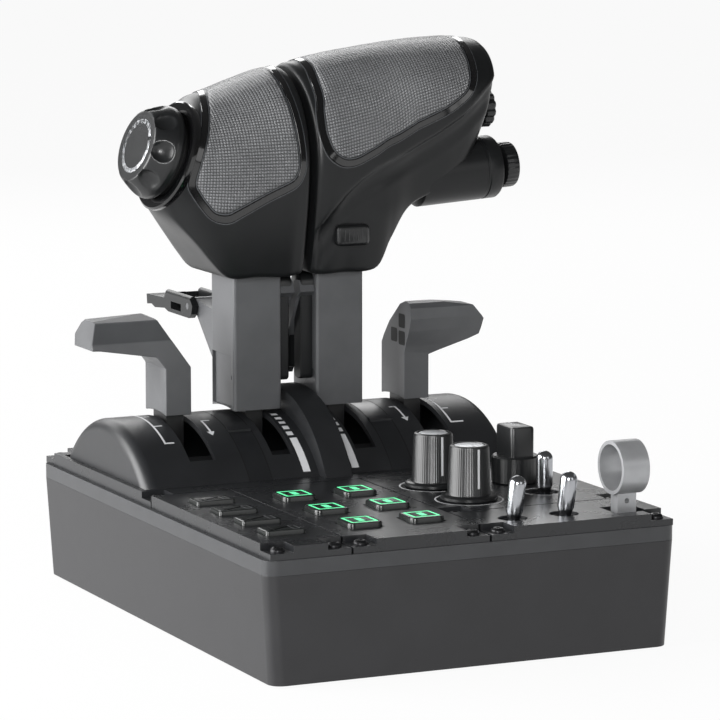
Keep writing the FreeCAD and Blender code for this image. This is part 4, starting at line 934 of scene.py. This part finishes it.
def bar_on_dome(name, x0, x1, a0, a1, finish="print"):
    """A flat print on the dome between two X and two angles."""
    steps = max(1, int(abs(a1 - a0) / 2))
    verts = []
    for i in range(steps + 1):
        angle = a0 + (a1 - a0) * i / steps
        verts += [on_dome(x0, angle, 0.06), on_dome(x1, angle, 0.06)]
    faces = [(2 * i, 2 * i + 1, 2 * i + 3, 2 * i + 2) for i in range(steps)]
    return name, verts, faces, finish


def prints(name, bars, finish, body="base"):
    verts = []
    faces = []
    for _, points, polygons, _ in bars:
        shift = len(verts)
        verts += points
        faces += [tuple(i + shift for i in polygon) for polygon in polygons]
    piece(name, verts, faces, finish, body)


def dome_prints():
    bars = []
    for side in (-1, 1):
        for a0, a1 in ((80.5, 78.3), (76, 73.8), (71.8, 69.9), (68, 65.5), (63.7, 61.2)):
            bars.append(bar_on_dome("dash", side * 11.3, side * 14.5, a0, a1))
        bars.append(bar_on_dome("block", side * 10.7, side * 14.4, 59.5, 41))
    bars.append(bar_on_dome("arc", -77, -76, 62, 104))
    for angle in (62, 76, 90, 104):
        bars.append(bar_on_dome("tick", -77, -72, angle - 0.45, angle + 0.45))
    bars.append(bar_on_dome("arc", 71.5, 72.5, 62, 104))
    for angle in (62, 73, 84, 94, 104):
        bars.append(bar_on_dome("tick", 71.5, 78.5 if angle == 62 else 76, angle - 0.45,
                                angle + 0.45))
    for side, x in ((-1, 51.0), (1, 50.2)):
        bars.append(bar_on_dome("foot", side * 47, side * x, 77.7, 78.5))
        bars.append(bar_on_dome("shaft", side * (x - 0.5), side * (x + 0.5), 78.5, 67.5))
        tip = [on_dome(side * (x - 2), 68, 0.06), on_dome(side * (x + 2), 68, 0.06),
               on_dome(side * x, 65, 0.06)]
        bars.append(("tip", tip, [(0, 1, 2)], "print"))
    prints("dome_scale", bars, "print")
    seams = []
    for side in (-1, 1):
        for x in (31.0, 42.4):
            seams.append(bar_on_dome("seam", side * (x - 0.25), side * (x + 0.25), 20, 158))
    prints("dome_seams", seams, "dark")


def flat_ring(name, x, y, radius, width, finish, steps=96):
    """A printed ring on the plate."""
    verts = []
    for step in range(steps):
        angle = 2 * math.pi * step / steps
        for r in (radius - width / 2, radius + width / 2):
            verts.append(on_plate(x + r * math.cos(angle), y + r * math.sin(angle), 0.06))
    faces = [(2 * i, 2 * i + 1, (2 * i + 3) % (2 * steps), (2 * i + 2) % (2 * steps))
             for i in range(steps)]
    piece(name, verts, faces, finish, "base")


def rectangle(x, y, width, depth):
    return [Vector((x - width / 2, y - depth / 2)), Vector((x + width / 2, y - depth / 2)),
            Vector((x + width / 2, y + depth / 2)), Vector((x - width / 2, y + depth / 2))]


def flat_shape(name, outline, z, finish, body):
    """A flat filled outline at a height."""
    verts = [mm(p.x, p.y, z) for p in outline]
    piece(name, verts, [tuple(range(len(verts)))], finish, body)


def flat_band(outline, inner, outer, z):
    """A flat closed band along an outline."""
    first = offset(outline, inner)
    second = offset(outline, outer)
    verts = [mm(p.x, p.y, z) for p in first + second]
    count = len(outline)
    faces = [(i, (i + 1) % count, count + (i + 1) % count, count + i) for i in range(count)]
    return verts, faces


def key_cap(node, radius, crown):
    """A key cap with a rounded top edge and a slight dish, in place of its CAD block."""
    low, high = node_mm(node)
    centre = (low + high) / 2
    width = high.x - low.x
    depth = high.y - low.y
    outline = rounded(rectangle(centre.x, centre.y, width, depth), radius, 6)
    levels = [(0.0, low.z), (0.0, high.z - crown), (crown * 0.3, high.z - crown * 0.3),
              (crown, high.z), (crown + 1.6, high.z - 0.12)]
    verts, faces = stacked([[mm(p.x, p.y, z) for p in offset(outline, inset)]
                            for inset, z in levels])
    piece(node + "_cap", verts, faces, "key", node, 40, (node,))
    return centre, high.z, outline


def keys():
    for number in range(1, 7):
        node = "key_%d" % number
        centre, top, outline = key_cap(node, 3.0, 0.9)
        verts, faces = flat_band(outline, 1.7, 2.9, top - 0.02)
        mark = rounded(rectangle(centre.x, centre.y, 3.0, 6.6), 0.5, 2)
        base = len(verts)
        verts += [mm(p.x, p.y, top - 0.02) for p in mark]
        faces.append(tuple(range(base, base + len(mark))))
        piece(node + "_light", verts, faces, "green", node)
    for number in range(1, 5):
        node = "small_key_%d" % number
        centre, top, outline = key_cap(node, 1.4, 0.7)
        low, high = node_mm(node)
        split = rectangle(low.x + 4.6, centre.y, 0.5, high.y - low.y - 2.4)
        flat_shape(node + "_split", split, top - 0.03, "dark", node)
        frame_outline = rounded(rectangle(high.x - 3.4, centre.y, 3.2, high.y - low.y - 4), 0.5, 3)
        verts, faces = flat_band(frame_outline, 0.0, 0.35, top - 0.03)
        piece(node + "_mark", verts, faces, "faint", node)


dome_prints()
keys()

# ---------------------------------------------------------------- knobs, switches and screws


def knob(node, x, y):
    """A round knob with a skirt, a pale recessed top, a printed pointer on top and a printed line
    down its front.
    """
    low, high = node_mm(node)
    foot = PLATE_TOP + 0.3
    top = high.z
    centre = Vector((x, y, 0))
    profile = [(3.0, low.z), (3.0, foot), (12.6, foot), (13.0, foot + 0.4), (13.0, foot + 1.6),
               (12.4, foot + 2.1), (10.2, foot + 2.4), (9.9, foot + 3.2), (9.1, top - 1.4),
               (8.7, top - 0.4), (7.9, top), (7.2, top), (6.9, top - 0.7), (0.2, top - 0.7)]

    def ribs(radius, height, angle):
        if foot + 3 < height < top - 0.5 and radius > 8:
            return radius - 0.12 * (0.5 + 0.5 * math.cos(60 * angle))
        return radius

    turned(node + "_body", profile, centre, UP, "knob", node, 240, ribs, 40, (node,))
    turned(node + "_disc", [(6.8, top - 0.75), (6.8, top - 0.35), (6.4, top - 0.2),
                            (0.2, top - 0.2)], centre, UP, "brushed", node, 64)
    pointer = rectangle(x, y - 5.2, 1.1, 5.4)
    flat_shape(node + "_pointer", pointer, top + 0.03, "print", node)
    line = [mm(x - 0.55, y - 9.45, foot + 6), mm(x + 0.55, y - 9.45, foot + 6),
            mm(x + 0.55, y - 9.15, top - 1.0), mm(x - 0.55, y - 9.15, top - 1.0)]
    piece(node + "_line", [p + Vector((0, -0.0004, 0)) for p in line], [(0, 1, 2, 3)], "print",
          node)


def selector(x, y):
    low, high = node_mm("selector_knob")
    foot = PLATE_TOP + 0.3
    step = foot + 12.6
    centre = Vector((x, y, 0))
    profile = [(3.0, low.z), (3.0, foot), (10.6, foot), (11.0, foot + 0.4), (11.0, step - 0.8),
               (10.3, step), (0.3, step)]
    turned("selector_disc", profile, centre, UP, "knob", "selector_knob", 96,
           lambda r, h, a: r - (0.15 * (0.5 + 0.5 * math.cos(36 * a)) if r > 10.8 else 0))
    outline = rounded(rectangle(x, y, 12, 17), 2.2, 5)
    levels = [(0.0, step - 1), (0.0, high.z - 1.2), (0.35, high.z - 0.35), (1.2, high.z)]
    verts, faces = stacked([[mm(p.x, p.y, z) for p in offset(outline, inset)]
                            for inset, z in levels])
    piece("selector_bar", verts, faces, "knob", "selector_knob", 40,
          ("selector_knob",))
    flat_shape("selector_line", rectangle(x, y + 3.6, 1.0, 8.0), high.z + 0.03, "print",
               "selector_knob")


def toggle(node, x, y, ring):
    """A domed bat in a round hole, with the nut below it; the floor of the hole is deep black as
    painted shade.
    """
    low, high = node_mm(node)
    pivot = Vector((x, y, 57.8))
    lean = Vector(((low.x + high.x) / 2 - x, (low.y + high.y) / 2 - y, 0))
    axis = (Vector((lean.x * 2.2, lean.y * 2.2, high.z - pivot.z))).normalized()
    if node == "toggle_c":
        axis = UP
    length = high.z - pivot.z
    profile = [(0.3, -2.4), (2.3, -1.6), (2.5, 0.0), (2.6, 2.0), (3.2, 4.6), (3.8, 6.4),
               (3.85, length - 4.2)]
    for step in range(1, 7):
        angle = math.radians(15 * step)
        profile.append((3.85 * math.cos(angle) + 0.05, length - 4.2 + 3.85 * math.sin(angle)))
    turned(node + "_bat", profile, pivot, axis, "chrome", node, 48,
           replaced=(node,))
    # painted shade: a deep-black floor in the hole round the nut
    turned(node + "_painted_hole_shade", [(6.5, PLATE_TOP - 3.0), (6.5, PLATE_TOP - 3.4), (3.0, PLATE_TOP - 3.4)],
           Vector((x, y, 0)), UP, "dark", "base", 48)
    nut = [(6.4, PLATE_TOP - 3.2), (6.4, PLATE_TOP - 1.6), (6.0, PLATE_TOP - 1.2),
           (4.7, PLATE_TOP - 1.2), (4.4, PLATE_TOP - 1.6), (4.4, PLATE_TOP - 3.2)]
    turned(node + "_nut", nut, Vector((x, y, 0)), UP, "screw", "base", 6 * 8)
    if ring:
        flat_ring(node + "_print", x, y, 9.6, 0.7, "print")


def screw_heads():
    """Every case and panel screw: a button head with a hexagonal socket on its shank."""
    verts = []
    faces = []
    steps = 36
    for x, y, z, way in screws:
        axis = UP * way
        centre = Vector((x, y, z))

        def hexagon(radius, height, angle):
            if radius > 1.6:
                return radius
            return 1.15 / math.cos((angle % (math.pi / 3)) - math.pi / 6)

        profile = [(1.45, -8.0), (1.45, 0.0), (3.25, 0.0), (3.25, 0.5), (2.9, 1.3), (2.2, 1.85),
                   (1.65, 1.95), (1.2, 1.9), (1.2, 0.8)]
        points, polygons = revolve(profile, centre, axis, steps,
                                   lambda r, h, a: hexagon(r, h, a) if r < 1.3 else r)
        shift = len(verts)
        verts += points
        faces += [tuple(i + shift for i in polygon) for polygon in polygons]
    piece("screw_heads", verts, faces, "screw", "base", 30, ("case_screws",))


screws = []
for x0, x1, y0, y1, corners in (
        (-98, -60, -136, -1, ((0, 0), (1, 0))), (-59, 6.5, -136, -1, ((0, 0), (1, 0))),
        (7.5, 98, -136, -95.2, ((0, 0), (1, 0))), (7.5, 98, -94.2, -1, ((0, 0), (1, 0))),
        (-98, 98, 0, 136, ((0, 0), (1, 0), (0, 1), (1, 1)))):
    for right, back in corners:
        screws.append((x1 - 5.7 if right else x0 + 5.7, y1 - 5.7 if back else y0 + 5.7,
                       PLATE_TOP - 3, 1))
screw_heads()
KNOBS = {"knob_near": (29.4, -69.7), "knob_far": (29.4, -32.4)}
for node, (x, y) in KNOBS.items():
    knob(node, x, y)
    flat_ring(node + "_scale", x, y, 15.4, 0.8, "print")
selector(68.8, -38.5)
toggle("toggle_a", 26.6, -118.6, False)
toggle("toggle_b", 52.2, -118.6, False)
toggle("toggle_c", 69.2, -67.2, True)

# ---------------------------------------------------------------- stage


def stage():
    floor = bpy.data.meshes.new("floor")
    size = 20.0
    low_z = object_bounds()[0][2]
    floor.from_pydata([(-size, -size, low_z), (size, -size, low_z), (size, size, low_z),
                       (-size, size, low_z)], [], [(0, 1, 2, 3)])
    ground = bpy.data.objects.new("floor", floor)
    bpy.context.scene.collection.objects.link(ground)
    material = bpy.data.materials.new("pale_floor")
    material.use_nodes = True
    nodes = material.node_tree.nodes
    links = material.node_tree.links
    shader = nodes["Principled BSDF"]
    shader.inputs["Base Color"].default_value = (0.86, 0.86, 0.86, 1)
    shader.inputs["Roughness"].default_value = 0.9
    light = nodes.new("ShaderNodeEmission")
    light.inputs["Strength"].default_value = 1.0
    path = nodes.new("ShaderNodeLightPath")
    mix = nodes.new("ShaderNodeMixShader")
    share = nodes.new("ShaderNodeMath")
    share.operation = "MULTIPLY"
    share.inputs[1].default_value = 0.94
    seen = nodes.new("ShaderNodeMath")
    seen.operation = "MAXIMUM"
    links.new(path.outputs["Is Camera Ray"], seen.inputs[0])
    links.new(path.outputs["Is Glossy Ray"], seen.inputs[1])
    links.new(seen.outputs["Value"], share.inputs[0])
    links.new(share.outputs["Value"], mix.inputs["Fac"])
    links.new(shader.outputs["BSDF"], mix.inputs[1])
    links.new(light.outputs["Emission"], mix.inputs[2])
    links.new(mix.outputs["Shader"], nodes["Material Output"].inputs["Surface"])
    floor.materials.append(material)
    ground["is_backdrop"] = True


def world():
    world_data = bpy.data.worlds.new("studio")
    bpy.context.scene.world = world_data
    world_data.use_nodes = True
    nodes = world_data.node_tree.nodes
    links = world_data.node_tree.links
    background = nodes["Background"]
    background.inputs["Color"].default_value = (1, 1, 1, 1)
    path = nodes.new("ShaderNodeLightPath")
    strength = nodes.new("ShaderNodeMapRange")
    strength.inputs["To Min"].default_value = 0.1
    strength.inputs["To Max"].default_value = 1.0
    links.new(path.outputs["Is Camera Ray"], strength.inputs["Value"])
    links.new(strength.outputs["Result"], background.inputs["Strength"])


def lamp(name, place, target, size, energy):
    data = bpy.data.lights.new(name, "AREA")
    data.shape = "RECTANGLE"
    data.size = size[0]
    data.size_y = size[1]
    data.energy = energy
    obj = bpy.data.objects.new(name, data)
    bpy.context.scene.collection.objects.link(obj)
    obj.location = place
    obj.rotation_euler = (Vector(target) - Vector(place)).to_track_quat("-Z", "Y").to_euler()


def camera():
    data = bpy.data.cameras.new("camera")
    data.lens = 195.0
    data.sensor_width = 36.0
    obj = bpy.data.objects.new("camera", data)
    bpy.context.scene.collection.objects.link(obj)
    obj.location = mm(-750.04, -1627.09, 383.03)
    obj.rotation_euler = (math.radians(90 - 8.438), 0, math.radians(-24.96))
    bpy.context.scene.camera = obj


stage()
world()
lamp("side_left", (-1.8, 0.5, 0.55), (0, 0, 0.12), (2.2, 1.6), 105)
lamp("front_left", (-0.95, -1.85, 0.72), (0, 0, 0.2), (0.5, 0.5), 26)
lamp("back_top", (0.2, 1.7, 0.9), (0, 0, 0.15), (1.8, 0.6), 13)
lamp("front", (0.9, -2.2, 0.8), (0, 0, 0.1), (1.0, 1.0), 5)
camera()
bpy.context.scene.view_settings.view_transform = "Standard"
